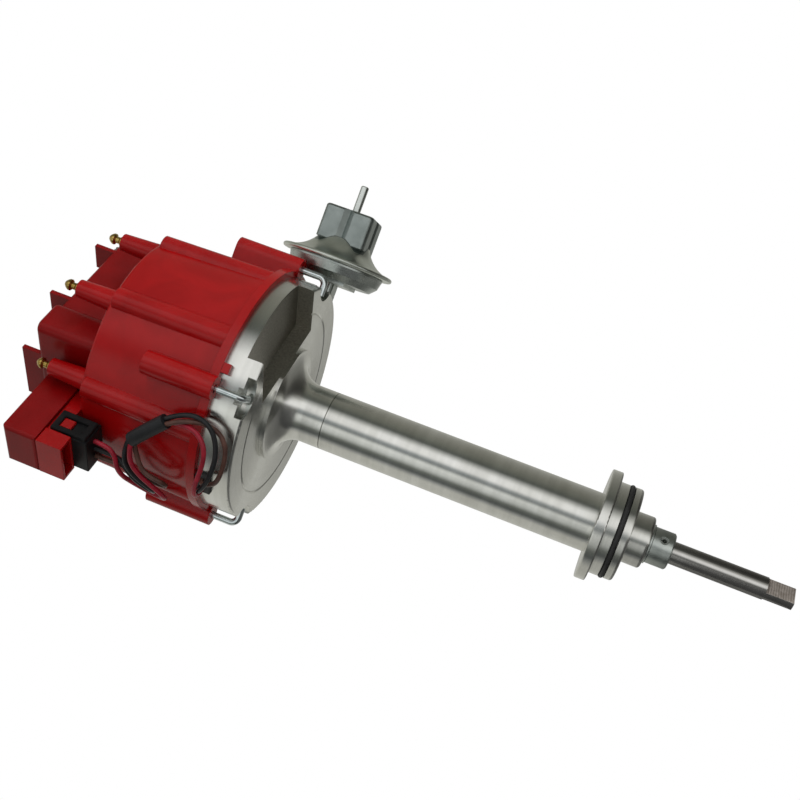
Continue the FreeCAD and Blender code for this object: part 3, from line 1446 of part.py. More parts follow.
def make_cam():
    """The cam pressed on the shaft's top, whose ends the weights push on."""
    body = new_body("advance_cam")
    low = s.base_bottom + s.base_thickness + s.end_gap
    shape = outline(body, "XY_Plane", [
        (-s.cam_half_length, -s.cam_half_width / 2),
        (-s.cam_half_width / 2, -s.cam_half_width, s.cam_half_length, 1),
        (s.cam_half_width / 2, -s.cam_half_width),
        (s.cam_half_length, -s.cam_half_width / 2, s.cam_half_length, 1),
        (s.cam_half_length, s.cam_half_width / 2),
        (s.cam_half_width / 2, s.cam_half_width, s.cam_half_length, 1),
        (-s.cam_half_width / 2, s.cam_half_width),
        (-s.cam_half_length, s.cam_half_width / 2, s.cam_half_length, 1),
    ], low)
    pad(body, shape, s.cam_thickness)
    bore = circles(body, "XY_Plane", [(0, 0, s.journal_radius)], low)
    pocket(body, bore, s.cam_thickness, back=True)
    return body


def make_weight(number):
    """A centrifugal weight: a curved bar on its pivot."""
    body = new_body(f"advance_weight_{number + 1}", number * ROUND / 2)
    low = s.base_bottom + s.base_thickness + s.cover_gap
    shape = outline(body, "XY_Plane", [
        (-s.weight_reach, s.weight_pivot - s.weight_width),
        (s.weight_width, s.weight_pivot - s.weight_width / 2),
        (s.weight_width, s.weight_pivot + s.weight_width / 2, s.weight_width, 1),
        (-s.weight_reach, s.weight_pivot, s.base_radius, 1),
    ], low)
    pad(body, shape, s.weight_thickness)
    hole = circles(body, "XY_Plane", [(0, s.weight_pivot, s.pivot_radius + s.running_gap)], low)
    pocket(body, hole, s.weight_thickness, back=True)
    return body


def make_rotor():
    """The moulded rotor: a disc with a skirt, a raised hub and two screw seats."""
    body = new_body("rotor")
    low = s.rotor_bottom
    wall = s.rotor_wall
    top = low + s.rotor_height
    revolve(body, [
        (0, low + wall),
        (s.rotor_radius - wall, low + wall),
        (s.rotor_radius - wall, low - wall),
        (s.rotor_radius, low - wall),
        (s.rotor_radius, low + 2 * wall),
        (s.rotor_hub, low + 3 * wall),
        (s.rotor_hub - wall, top),
        (0, top),
    ])
    arm = rectangle(body, "XY_Plane", (0, -s.blade_half_width - wall / 2),
                    (s.blade_reach - 3 * wall, s.blade_half_width + wall / 2), top - 2 * wall)
    pad(body, arm, 2 * wall)
    seats = circles(body, "XY_Plane", [(x, y, s.screw_radius * 2) for x, y in rotor_screw_places()], low)
    pad(body, seats, 3 * wall)
    holes = circles(body, "XY_Plane", [(x, y, s.screw_radius * 0.8) for x, y in rotor_screw_places()], low)
    pocket(body, holes, 3 * wall + 1, back=True)
    return body


def make_blade():
    """The rotor's contact blade, from under the carbon button out to the tip."""
    body = new_body("rotor_blade")
    blade = rectangle(body, "XY_Plane", (-s.blade_half_width, -s.blade_half_width),
                      (s.blade_reach, s.blade_half_width), s.rotor_bottom + s.rotor_height)
    pad(body, blade, s.blade_thickness)
    return body


def make_rotor_screws():
    body = new_body("rotor_screws")
    low = s.rotor_bottom + 3 * s.rotor_wall
    head = circles(body, "XY_Plane", [(x, y, s.screw_radius * 1.7) for x, y in rotor_screw_places()], low)
    pad(body, head, s.screw_head_height)
    shank = circles(body, "XY_Plane", [(x, y, s.screw_radius * 0.7) for x, y in rotor_screw_places()],
                    s.rotor_bottom - s.screw_head_height)
    pad(body, shank, low - s.rotor_bottom + s.screw_head_height)
    return body


def make_bracket():
    """The bracket that holds the canister: a plate behind the cup and a tongue into the bowl."""
    body = new_body("vacuum_bracket")
    back = s.canister_face - s.cover_gap - s.cup_depth
    plate = rectangle(body, "XY_Plane", (back - s.bracket_thickness, s.bracket_start), (back, s.bracket_end),
                      s.bracket_bottom)
    pad(body, plate, s.canister_height + s.rod_eye - s.bracket_bottom)
    tongue = rectangle(body, "XY_Plane", (s.tongue_inner + s.cover_gap, s.tongue_start),
                       (back - s.bracket_thickness / 2, s.tongue_end), s.bowl_floor)
    pad(body, tongue, s.bracket_thickness)
    hole = circles(body, "YZ_Plane", [(s.canister_offset, s.canister_height, s.rod_radius + s.end_gap)],
                   back - 2 * s.bracket_thickness)
    pocket(body, hole, 3 * s.bracket_thickness, back=True)
    holes = [(x, y, s.inner_screw_radius) for x, y in bracket_screw_places()]
    pocket(body, circles(body, "XY_Plane", holes, s.bowl_floor), s.bracket_thickness, back=True)
    return body


def bracket_screw_places():
    across = (s.tongue_start + s.tongue_end) / 2
    return [(s.tongue_screw, across), (s.tongue_screw - s.tongue_screw_step, across)]


def make_module():
    """The ignition module: a moulded block with two screw eyes, flat on the bowl's floor."""
    body = new_body("ignition_module", s.module_azimuth)
    half = s.module_width / 2
    block = rectangle(body, "XY_Plane", (s.module_radius - half, -s.module_length / 2),
                      (s.module_radius + half, s.module_length / 2), s.bowl_floor)
    pad(body, block, s.module_height)
    fillet(body, s.module_height / 2, vertical)
    screws = [(s.module_radius, y, s.inner_screw_radius) for y in module_screw_places()]
    holes = circles(body, "XY_Plane", screws, s.bowl_floor)
    pocket(body, holes, s.module_height, back=True)
    raised = rectangle(body, "XY_Plane", (s.module_radius - half / 2, -s.module_length / 4),
                       (s.module_radius + half, s.module_length / 4), s.bowl_floor + s.module_height)
    pad(body, raised, s.plate_thickness)
    return body


def module_screw_places():
    reach = s.module_length / 2 - s.module_width / 4
    return [reach, -reach]


def make_inner_screws(name, azimuth, places, seat):
    """Pan-head screws of one length into the bowl's floor."""
    body = new_body(name, azimuth)
    grip = s.cover_gap / 2
    heads = [(x, y, 2 * s.inner_screw_radius) for x, y in places]
    shanks = [(x, y, s.inner_screw_radius - s.running_gap) for x, y in places]
    pad(body, circles(body, "XY_Plane", heads, seat), s.screw_head_height)
    pad(body, circles(body, "XY_Plane", shanks, s.bowl_floor + grip), seat - s.bowl_floor - grip)
    return body


def make_capacitor():
    """The suppression capacitor lying in its strap on the bowl's floor."""
    body = new_body("capacitor", s.capacitor_azimuth)
    low = s.bowl_floor
    middle = low + s.capacitor_body + s.cover_wall / 4
    can = circles(body, "XZ_Plane", [(s.capacitor_radius, middle, s.capacitor_body)])
    pad(body, can, s.capacitor_length, middle=True)
    strap = circles(body, "XZ_Plane", [(s.capacitor_radius, middle, s.capacitor_body + s.cover_wall / 5)])
    pad(body, strap, s.capacitor_length / 3, middle=True)
    foot = rectangle(body, "XY_Plane", (s.capacitor_radius - s.capacitor_body, -s.capacitor_length / 6),
                     (s.capacitor_radius + s.capacitor_body, s.capacitor_length / 6), low)
    pad(body, foot, s.plate_thickness)
    return body


def make_wire(name):
    """A harness wire along its chosen route; its bend radii are printed for checking."""
    solid, radii, length = tube(route_points(WIRE_ROUTES[name]), s.wire_radius.number)
    section = math.pi * s.wire_radius.number ** 2
    print(name, "length", round(length, 1), "volume ratio", round(solid.Volume / section / length, 4),
          "radii", [round(radius, 1) for radius in radii])
    return shape_object(name, solid)


def make_sleeve():
    """The short sleeve that gathers the three wires."""
    route = route_points(SLEEVE_ROUTE)
    outside, _, _ = tube(route, s.tubing_radius.number)
    inside, _, _ = tube(route, (s.tubing_radius - s.tubing_wall).number)
    return shape_object("wire_sleeve", outside.cut(inside))


def check_and_export(parts):
    """Stops on any failed feature or bad shape, then writes one file a piece."""
    doc.recompute()
    failed = [item.Name for item in doc.Objects if {"Invalid", "Error"} & set(item.State)]
    bad = [part.Label for part in parts if part.Shape.isNull() or not part.Shape.isValid()]
    if failed or bad:
        raise RuntimeError(f"failed features {failed}, bad shapes {bad}")
    os.makedirs("parts", exist_ok=True)
    for part in parts:
        part.Shape.exportStep(f"parts/{part.Label}.step")
    print(len(parts), "pieces written")


def main():
    parts = [make_housing(), make_ring(), make_shaft(), make_thrust_washer(), make_collar(), make_roll_pin()]
    bush_top = s.hub_top - s.bush_inset - s.bush_length
    bush_foot = s.bush_inset - s.pilot_length - s.spigot_length
    parts += [make_bush("upper_bush", bush_top), make_bush("lower_bush", bush_foot)]
    parts.append(make_cap())
    parts += [make_terminal(number) for number in range(int(s.tower_count.number))]
    parts += [make_coil_cover(), make_cover_screws(), make_coil_core(), make_winding(), make_seal(),
              make_button(), make_plug(), make_grommet()]
    for number in range(4):
        parts += [make_latch_hook(number), make_latch_spring(number)]
    parts += [make_vacuum_cover(), make_vacuum_cup(), make_nipple(), make_diaphragm(), make_rod(),
              make_vacuum_spring(), make_bracket()]
    parts += [make_pickup_plate(), make_magnet(), make_pickup_coil(), make_pole_piece()]
    parts += [make_timer_core(), make_weight_base(), make_cam(), make_weight(0), make_weight(1)]
    parts += [make_rotor(), make_blade(), make_rotor_screws()]
    parts += [make_module(), make_capacitor()]
    module_places = [(s.module_radius, y) for y in module_screw_places()]
    parts.append(make_inner_screws("module_screws", s.module_azimuth, module_places,
                                   s.bowl_floor + s.module_height))
    parts.append(make_inner_screws("bracket_screws", None, bracket_screw_places(),
                                   s.bowl_floor + s.bracket_thickness))
    parts += [make_wire(name) for name in WIRE_ROUTES]
    parts.append(make_sleeve())
    check_and_export(parts)


main()
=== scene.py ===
import math

import bmesh
import bpy
from mathutils import Matrix, Vector


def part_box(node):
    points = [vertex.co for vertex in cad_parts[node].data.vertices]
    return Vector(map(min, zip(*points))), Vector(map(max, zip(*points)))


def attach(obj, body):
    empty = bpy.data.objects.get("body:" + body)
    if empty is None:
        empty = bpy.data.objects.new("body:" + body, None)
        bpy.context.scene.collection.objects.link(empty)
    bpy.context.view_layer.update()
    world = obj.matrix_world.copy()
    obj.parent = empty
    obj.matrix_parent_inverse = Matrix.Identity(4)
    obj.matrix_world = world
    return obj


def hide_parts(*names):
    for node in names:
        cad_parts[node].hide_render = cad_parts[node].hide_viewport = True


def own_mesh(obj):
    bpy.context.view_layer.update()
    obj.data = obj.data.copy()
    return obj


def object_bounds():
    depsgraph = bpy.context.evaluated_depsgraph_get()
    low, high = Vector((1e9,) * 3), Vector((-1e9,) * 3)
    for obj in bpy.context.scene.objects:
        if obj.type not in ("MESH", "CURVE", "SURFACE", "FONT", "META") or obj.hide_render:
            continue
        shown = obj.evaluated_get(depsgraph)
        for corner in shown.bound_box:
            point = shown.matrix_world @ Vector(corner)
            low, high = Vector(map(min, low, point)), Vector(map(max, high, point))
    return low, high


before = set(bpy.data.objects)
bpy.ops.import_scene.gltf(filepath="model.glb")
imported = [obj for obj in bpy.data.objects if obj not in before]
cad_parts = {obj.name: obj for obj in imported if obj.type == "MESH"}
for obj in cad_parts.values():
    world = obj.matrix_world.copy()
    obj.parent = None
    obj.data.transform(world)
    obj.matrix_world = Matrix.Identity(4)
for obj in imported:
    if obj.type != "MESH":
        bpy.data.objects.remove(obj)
cad_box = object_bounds()

MM = 0.001
ROOT = "housing_body"
WHITE = (1.0, 1.0, 1.0, 1.0)

# Camera, worked out from the photograph in the part's own frame: place in metres, lens in millimetres
CAMERA_PLACE = (0.0469, -0.6247, 0.02795)
CAMERA_RIGHT = (0.3479, 0.1619, -0.9235)
CAMERA_UP = (0.9369, -0.0239, 0.3488)
CAMERA_BACK = (0.0344, -0.9865, -0.1599)
CAMERA_AXES = Matrix((CAMERA_RIGHT, CAMERA_UP, CAMERA_BACK)).transposed()
CAMERA_LENS = 50.89
CAMERA_SENSOR = 36.0

# The milled step under the bowl: the way it faces, in degrees, and its limits, in millimetres
RECESS_AZIMUTH = -46.5
RECESS_OUT = (31.3, 80.0)
RECESS_ACROSS = (-31.2, 31.2)
RECESS_HEIGHT = (188.0, 200.6)
RECESS_RADIUS = (0.0, 69.2)

# The thin line of painted shade round the column where its turned diameter steps, and the tang at the foot
# of the shaft, in millimetres
STEP_SHADE_HEIGHT = (162.3, 162.8)
TANG_HEIGHT = (-110.0, -89.8)
TANG_RADIUS = (0.0, 6.12)

# The canister's square box end, about the canister's axis, in millimetres
CANISTER_ASIDE = 30.0
CANISTER_HEIGHT = 198.0
BOX_HALF = 15.35
BOX_OUT = (95.5, 140.0)
BOX_ASIDE = (CANISTER_ASIDE - BOX_HALF, CANISTER_ASIDE + BOX_HALF)
BOX_HEIGHT = (CANISTER_HEIGHT - BOX_HALF, CANISTER_HEIGHT + BOX_HALF)


# Colours and nodes. A mix node's sockets share their names, so these are their numbers

SHARE, VALUE_A, VALUE_B, COLOUR_A, COLOUR_B = 0, 2, 3, 6, 7
MIXED_VALUE, MIXED_COLOUR = 0, 2


def linear(code):
    """An sRGB hex colour as the linear red, green, blue and alpha that a socket takes."""
    parts = [int(code[place:place + 2], 16) / 255 for place in (1, 3, 5)]
    lit = [part / 12.92 if part <= 0.04045 else ((part + 0.055) / 1.055) ** 2.4 for part in parts]
    return (*lit, 1.0)


def add(tree, kind, sockets=None, stops=None, **settings):
    """Adds a node with its settings, its sockets set or linked, and a ramp's (place, hex colour) stops."""
    node = tree.nodes.new(kind)
    for name, value in settings.items():
        setattr(node, name, value)
    for name, value in (sockets or {}).items():
        if isinstance(value, bpy.types.NodeSocket):
            tree.links.new(value, node.inputs[name])
        else:
            node.inputs[name].default_value = value
    if stops:
        elements = node.color_ramp.elements
        elements[0].position, elements[0].color = stops[0][0], linear(stops[0][1])
        elements[1].position, elements[1].color = stops[-1][0], linear(stops[-1][1])
        for place, code in stops[1:-1]:
            elements.new(place).color = linear(code)
    return node


def per_mm(size):
    """The texture scale at which one cell of a pattern is this many millimetres."""
    return 1000.0 / size


def begin(name, **constants):
    """A new material with its shader's plain sockets set."""
    material = bpy.data.materials.new(name)
    material.use_nodes = True
    tree = material.node_tree
    shader = tree.nodes["Principled BSDF"]
    for socket, value in constants.items():
        shader.inputs[socket.replace("_", " ")].default_value = value
    spot = add(tree, "ShaderNodeTexCoord").outputs["Object"]
    return material, tree, shader, spot


# Surface marks

def mottle(tree, vector, size, detail, stops, distortion=0.0):
    """A cloudy change of tone, in cells of this many millimetres."""
    cloud = add(tree, "ShaderNodeTexNoise", {"Vector": vector, "Scale": per_mm(size), "Detail": detail,
                                             "Distortion": distortion})
    return add(tree, "ShaderNodeValToRGB", {"Fac": cloud.outputs["Fac"]}, stops).outputs["Color"]


def roughen(tree, shader, pattern, low, high, patch=None):
    """Lets a fine pattern set the roughness. A patch is a mask and the roughness that it has instead."""
    sockets = {"Value": pattern, "To Min": low, "To Max": high}
    rough = add(tree, "ShaderNodeMapRange", sockets).outputs["Result"]
    if patch:
        mask, bare = patch
        rough = add(tree, "ShaderNodeMix", {SHARE: mask, VALUE_A: rough, VALUE_B: bare}).outputs[MIXED_VALUE]
    tree.links.new(rough, shader.inputs["Roughness"])


def relief(tree, shader, pattern, depth, edge=None):
    """A bump of a real depth, over the small radius that moulding or deburring leaves on an edge."""
    sockets = {"Height": pattern, "Distance": depth * MM, "Strength": 1.0}
    if edge:
        sockets["Normal"] = add(tree, "ShaderNodeBevel", {"Radius": edge * MM}, samples=4).outputs["Normal"]
    bump = add(tree, "ShaderNodeBump", sockets)
    tree.links.new(bump.outputs["Normal"], shader.inputs["Normal"])


def turn_on_lathe(tree, shader, spot):
    """Draws light out lengthwise, as tool rings do. Gives a point's place as a lathe's marks follow it,
    its radius and its height."""
    around = add(tree, "ShaderNodeTangent", direction_type="RADIAL", axis="Z")
    tree.links.new(around.outputs["Tangent"], shader.inputs["Tangent"])
    apart = add(tree, "ShaderNodeSeparateXYZ", {"Vector": spot})
    height = apart.outputs["Z"]
    flat = add(tree, "ShaderNodeCombineXYZ", {"X": apart.outputs["X"], "Y": apart.outputs["Y"]})
    reach = add(tree, "ShaderNodeVectorMath", {0: flat.outputs["Vector"]}, operation="LENGTH")
    radius = reach.outputs["Value"]
    turned = add(tree, "ShaderNodeCombineXYZ", {"X": radius, "Y": height}).outputs["Vector"]
    return turned, radius, height


def mask_within(tree, limits):
    """One where each value lies between its two limits in millimetres, and nothing elsewhere."""
    mask = 1.0
    for value, (low, high) in limits:
        for limit, operation in ((low, "GREATER_THAN"), (high, "LESS_THAN")):
            test = add(tree, "ShaderNodeMath", {0: value, 1: limit * MM}, operation=operation)
            both = add(tree, "ShaderNodeMath", {0: mask, 1: test.outputs[0]}, operation="MULTIPLY")
            mask = both.outputs[0]
    return mask


def recess_mask(tree, spot, radius, height):
    """One on the milled step under the bowl, which keeps its rough dark face."""
    limits = [(height, RECESS_HEIGHT), (radius, RECESS_RADIUS)]
    for azimuth, reach in ((RECESS_AZIMUTH, RECESS_OUT), (RECESS_AZIMUTH + 90.0, RECESS_ACROSS)):
        turned = math.radians(azimuth)
        way = (math.cos(turned), math.sin(turned), 0.0)
        run = add(tree, "ShaderNodeVectorMath", {0: spot, 1: way}, operation="DOT_PRODUCT")
        limits.append((run.outputs["Value"], reach))
    return mask_within(tree, limits)


# Materials. Tool rings and grain are finer on the real part, and are drawn as coarse as they need to show

def turned_aluminium():
    """Aluminium bar, turned bright: fine tool rings, lengthwise light, a dark dull milled step, and a thin
    line of painted shade where the column steps.
    """
    material, tree, shader, spot = begin("turned_aluminium", Metallic=1.0, Anisotropic=0.75,
                                         Anisotropic_Rotation=0.25)
    turned, radius, height = turn_on_lathe(tree, shader, spot)
    rings = add(tree, "ShaderNodeTexNoise", {"Vector": turned, "Scale": per_mm(0.6), "Detail": 2.0})
    tone = mottle(tree, turned, 5.0, 3.0, [(0.3, "#D8D8D4"), (0.7, "#E6E6E2")])
    stain = mottle(tree, spot, 18.0, 4.0, [(0.35, "#E2E1DB"), (0.75, "#FFFFFF")])
    bright = add(tree, "ShaderNodeMix", {SHARE: 0.5, COLOUR_A: tone, COLOUR_B: stain},
                 data_type="RGBA", blend_type="MULTIPLY").outputs[MIXED_COLOUR]
    milled = recess_mask(tree, spot, radius, height)
    dull = mottle(tree, spot, 1.2, 4.0, [(0.3, "#A5A298"), (0.7, "#BFBCB2")])
    plain = add(tree, "ShaderNodeMix", {SHARE: milled, COLOUR_A: bright, COLOUR_B: dull},
                data_type="RGBA").outputs[MIXED_COLOUR]
    # Painted shade: a thin dark line round the column, standing for the shade where its turned diameter
    # steps
    step_shade = mask_within(tree, [(height, STEP_SHADE_HEIGHT)])
    with_step_shade = add(tree, "ShaderNodeMix", {SHARE: step_shade, COLOUR_A: plain, COLOUR_B: linear("#77766F")},
                 data_type="RGBA").outputs[MIXED_COLOUR]
    tree.links.new(with_step_shade, shader.inputs["Base Color"])
    roughen(tree, shader, rings.outputs["Fac"], 0.18, 0.28, (milled, 0.62))
    relief(tree, shader, rings.outputs["Fac"], 0.002, 0.35)
    return material


def ground_shaft_steel():
    """Shaft steel, ground bright all along, with the tang left as the cutter and the wear leave it."""
    material, tree, shader, spot = begin("ground_shaft_steel", Anisotropic_Rotation=0.25)
    turned, radius, height = turn_on_lathe(tree, shader, spot)
    rings = add(tree, "ShaderNodeTexNoise", {"Vector": turned, "Scale": per_mm(0.5), "Detail": 3.0})
    bright = mottle(tree, spot, 10.0, 3.0, [(0.3, "#BCBAB6"), (0.7, "#CECCC8")])
    worn = mottle(tree, spot, 2.5, 5.0, [(0.3, "#A2988F"), (0.7, "#C6BDB5")])
    cutter = add(tree, "ShaderNodeTexWave", {"Vector": spot, "Scale": per_mm(4.2), "Distortion": 2.0,
                                             "Detail": 3.0}, bands_direction="Z")
    marks = add(tree, "ShaderNodeValToRGB", {"Fac": cutter.outputs["Fac"]},
                [(0.1, "#B4B0AC"), (0.6, "#FFFFFF")])
    milled = add(tree, "ShaderNodeMix", {SHARE: 0.6, COLOUR_A: worn, COLOUR_B: marks.outputs["Color"]},
                 data_type="RGBA", blend_type="MULTIPLY").outputs[MIXED_COLOUR]
    tang = mask_within(tree, [(height, TANG_HEIGHT), (radius, TANG_RADIUS)])
    colour = add(tree, "ShaderNodeMix", {SHARE: tang, COLOUR_A: bright, COLOUR_B: milled},
                 data_type="RGBA").outputs[MIXED_COLOUR]
    tree.links.new(colour, shader.inputs["Base Color"])
    for socket, ground, cut in (("Anisotropic", 0.6, 0.0), ("Metallic", 1.0, 0.68)):
        share = add(tree, "ShaderNodeMapRange", {"Value": tang, "To Min": ground, "To Max": cut})
        tree.links.new(share.outputs["Result"], shader.inputs[socket])
    roughen(tree, shader, rings.outputs["Fac"], 0.12, 0.2, (tang, 0.6))
    relief(tree, shader, rings.outputs["Fac"], 0.005, 0.25)
    return material


def zinc_cover_painted_shade():
    """The canister's plated pressing: a bright flare, and painted shade on its box end, which has a darker
    copy of the same zinc.
    """
    material, tree, shader, spot = begin("zinc_cover_painted_shade", Metallic=1.0)
    apart = add(tree, "ShaderNodeSeparateXYZ", {"Vector": spot}).outputs
    # drawn marks the box end of the pressing, where the shade is painted
    drawn = mask_within(tree, [(apart["X"], BOX_OUT), (apart["Y"], BOX_ASIDE), (apart["Z"], BOX_HEIGHT)])
    fine = add(tree, "ShaderNodeTexNoise", {"Vector": spot, "Scale": per_mm(0.9), "Detail": 3.0})
    flare = mottle(tree, spot, 8.0, 4.0, [(0.3, "#C8CDC4"), (0.7, "#DEE2DA")])
    # Painted shade: the box end's zinc, painted darker than the flare's
    box = mottle(tree, spot, 8.0, 4.0, [(0.3, "#868E8B"), (0.7, "#9CA4A1")])
    colour = add(tree, "ShaderNodeMix", {SHARE: drawn, COLOUR_A: flare, COLOUR_B: box},
                 data_type="RGBA").outputs[MIXED_COLOUR]
    tree.links.new(colour, shader.inputs["Base Color"])
    roughen(tree, shader, fine.outputs["Fac"], 0.26, 0.4)
    relief(tree, shader, fine.outputs["Fac"], 0.008, 0.5)
    return material


def bright_metal(name, dark, bright, low, high, grain):
    """Metal with a plated, drawn or polished skin: a fine grain and small changes of tone."""
    material, tree, shader, spot = begin(name, Metallic=1.0)
    fine = add(tree, "ShaderNodeTexNoise", {"Vector": spot, "Scale": per_mm(grain), "Detail": 3.0})
    tree.links.new(mottle(tree, spot, 8.0, 4.0, [(0.3, dark), (0.7, bright)]), shader.inputs["Base Color"])
    roughen(tree, shader, fine.outputs["Fac"], low, high)
    relief(tree, shader, fine.outputs["Fac"], 0.008, 0.2)
    return material


def moulded_polyester(name, dark, bright, roughness, gloss):
    """Glass-filled polyester, moulded: soft edges, faint flow marks and a fine orange peel."""
    material, tree, shader, spot = begin(name, Specular_IOR_Level=gloss)
    peel = add(tree, "ShaderNodeTexNoise", {"Vector": spot, "Scale": per_mm(1.6), "Detail": 2.0})
    dust = add(tree, "ShaderNodeTexNoise", {"Vector": spot, "Scale": per_mm(0.5), "Detail": 1.0})
    flow = mottle(tree, spot, 26.0, 5.0, [(0.3, dark), (0.72, bright)], distortion=1.2)
    tree.links.new(flow, shader.inputs["Base Color"])
    roughen(tree, shader, dust.outputs["Fac"], roughness - 0.06, roughness + 0.1)
    relief(tree, shader, peel.outputs["Fac"], 0.02, 0.5)
    return material


def dull_solid(name, dark, bright, roughness, grain, depth=0.015, gloss=0.5):
    """Rubber, nylon, vinyl, carbon or ferrite: dark and dull, with a fine tooth."""
    material, tree, shader, spot = begin(name, Specular_IOR_Level=gloss)
    tooth = add(tree, "ShaderNodeTexNoise", {"Vector": spot, "Scale": per_mm(grain), "Detail": 4.0})
    cloud = mottle(tree, spot, grain * 12, 3.0, [(0.3, dark), (0.7, bright)])
    tree.links.new(cloud, shader.inputs["Base Color"])
    roughen(tree, shader, tooth.outputs["Fac"], roughness - 0.08, roughness + 0.1)
    relief(tree, shader, tooth.outputs["Fac"], depth, 0.25)
    return material


def enamelled_winding():
    """Enamelled copper wire wound in layers: fine close ridges about the coil's core."""
    material, tree, shader, spot = begin("enamelled_winding", Metallic=0.8, Coat_Weight=0.6)
    turns = add(tree, "ShaderNodeTexWave", {"Vector": spot, "Scale": per_mm(2.4), "Distortion": 0.6},
                bands_direction="Z").outputs["Fac"]
    tone = add(tree, "ShaderNodeValToRGB", {"Fac": turns}, [(0.1, "#3A1A0C"), (0.9, "#8A4722")])
    tree.links.new(tone.outputs["Color"], shader.inputs["Base Color"])
    roughen(tree, shader, turns, 0.3, 0.5)
    relief(tree, shader, turns, 0.05)
    return material


# Each finish with the nodes that have it. Plating and drawing leave metal smooth and pale, pressing and
# stamping leave it grey, and sintering leaves it matt
FINISHES = {
    turned_aluminium(): ["housing"],
    moulded_polyester("gloss_red_polyester", "#7E0304", "#8E0608", 0.2, 0.27): ["cap"],
    moulded_polyester("satin_red_polyester", "#660203", "#740406", 0.28, 0.16): ["coil_cover"],
    ground_shaft_steel(): ["shaft"],
    bright_metal("zinc_plated_steel", "#A9AFAB", "#C9CEC9", 0.24, 0.4, 0.6): [
        "shaft_collar", "roll_pin", "vacuum_bracket", "cover_screws", "rotor_screws", "module_screws",
        "bracket_screws", "diaphragm_rod", "thrust_washer"],
    bright_metal("bright_zinc_wire", "#C3CCCE", "#E6ECEC", 0.12, 0.28, 0.5): [
        "latch_hook_1", "latch_hook_2", "latch_hook_3", "latch_hook_4"],
    bright_metal("zinc_plated_pressing", "#A0A6A2", "#BABFBB", 0.22, 0.36, 0.9): ["vacuum_cup"],
    bright_metal("drawn_zinc_tube", "#C0C6C2", "#D8DCD8", 0.18, 0.3, 0.9): ["vacuum_nipple"],
    zinc_cover_painted_shade(): ["vacuum_cover"],
    bright_metal("spring_steel_wire", "#6F706E", "#8F908C", 0.3, 0.45, 0.5): [
        "vacuum_spring", "latch_spring_1", "latch_spring_2", "latch_spring_3", "latch_spring_4"],
    bright_metal("pressed_steel_plate", "#8A8B88", "#AAABA7", 0.3, 0.5, 0.7): [
        "pickup_plate", "weight_base", "advance_cam", "advance_weight_1", "advance_weight_2"],
    bright_metal("silicon_steel_stamping", "#6A6A68", "#8A8A86", 0.35, 0.55, 0.6): [
        "coil_core", "pole_piece", "timer_core"],
    bright_metal("turned_brass", "#9C7F3C", "#C9AE66", 0.18, 0.36, 0.5): [
        *(f"spark_terminal_{number}" for number in range(1, 9)), "rotor_blade"],
    bright_metal("sintered_bronze", "#8A5F32", "#A87A45", 0.4, 0.6, 0.4): ["upper_bush", "lower_bush"],
    bright_metal("drawn_aluminium_can", "#B5B5B2", "#D2D2CF", 0.25, 0.4, 0.6): ["capacitor"],
    dull_solid("nitrile_rubber", "#141414", "#242424", 0.55, 0.7): [
        "pilot_o_ring", "wire_grommet", "coil_seal", "diaphragm"],
    dull_solid("black_nylon", "#0B0B0C", "#151516", 0.42, 0.8, gloss=0.22): [
        "harness_plug", "ignition_module"],
    dull_solid("pressed_carbon", "#161514", "#26241F", 0.7, 0.4): ["carbon_button"],
    dull_solid("ferrite", "#2A2A2A", "#3A3A38", 0.6, 0.6): ["pickup_magnet"],
    dull_solid("rotor_phenolic", "#171310", "#2A231D", 0.4, 1.0): ["rotor"],
    enamelled_winding(): ["coil_winding", "pickup_coil"],
}

for finish, names in FINISHES.items():
    for name in names:
        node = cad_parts[name]
        node.data.materials.clear()
        node.data.materials.append(finish)


# Harness, with its sizes in millimetres

WIRE_DIAMETER = 2.7
SLEEVE_DIAMETER = 8.2
BOWL_RADIUS = 69.4
BOWL_RIM = 209.5

# A curve's box reaches out by its points' radius, so the points are small and the bevel large by as much
POINT_RADIUS = 0.001

WIRE_COLOURS = {
    "red": ("#6C0C1C", "#8C1226"),
    "black": ("#111112", "#202022"),
    "brown": ("#3A241E", "#55382F"),
}

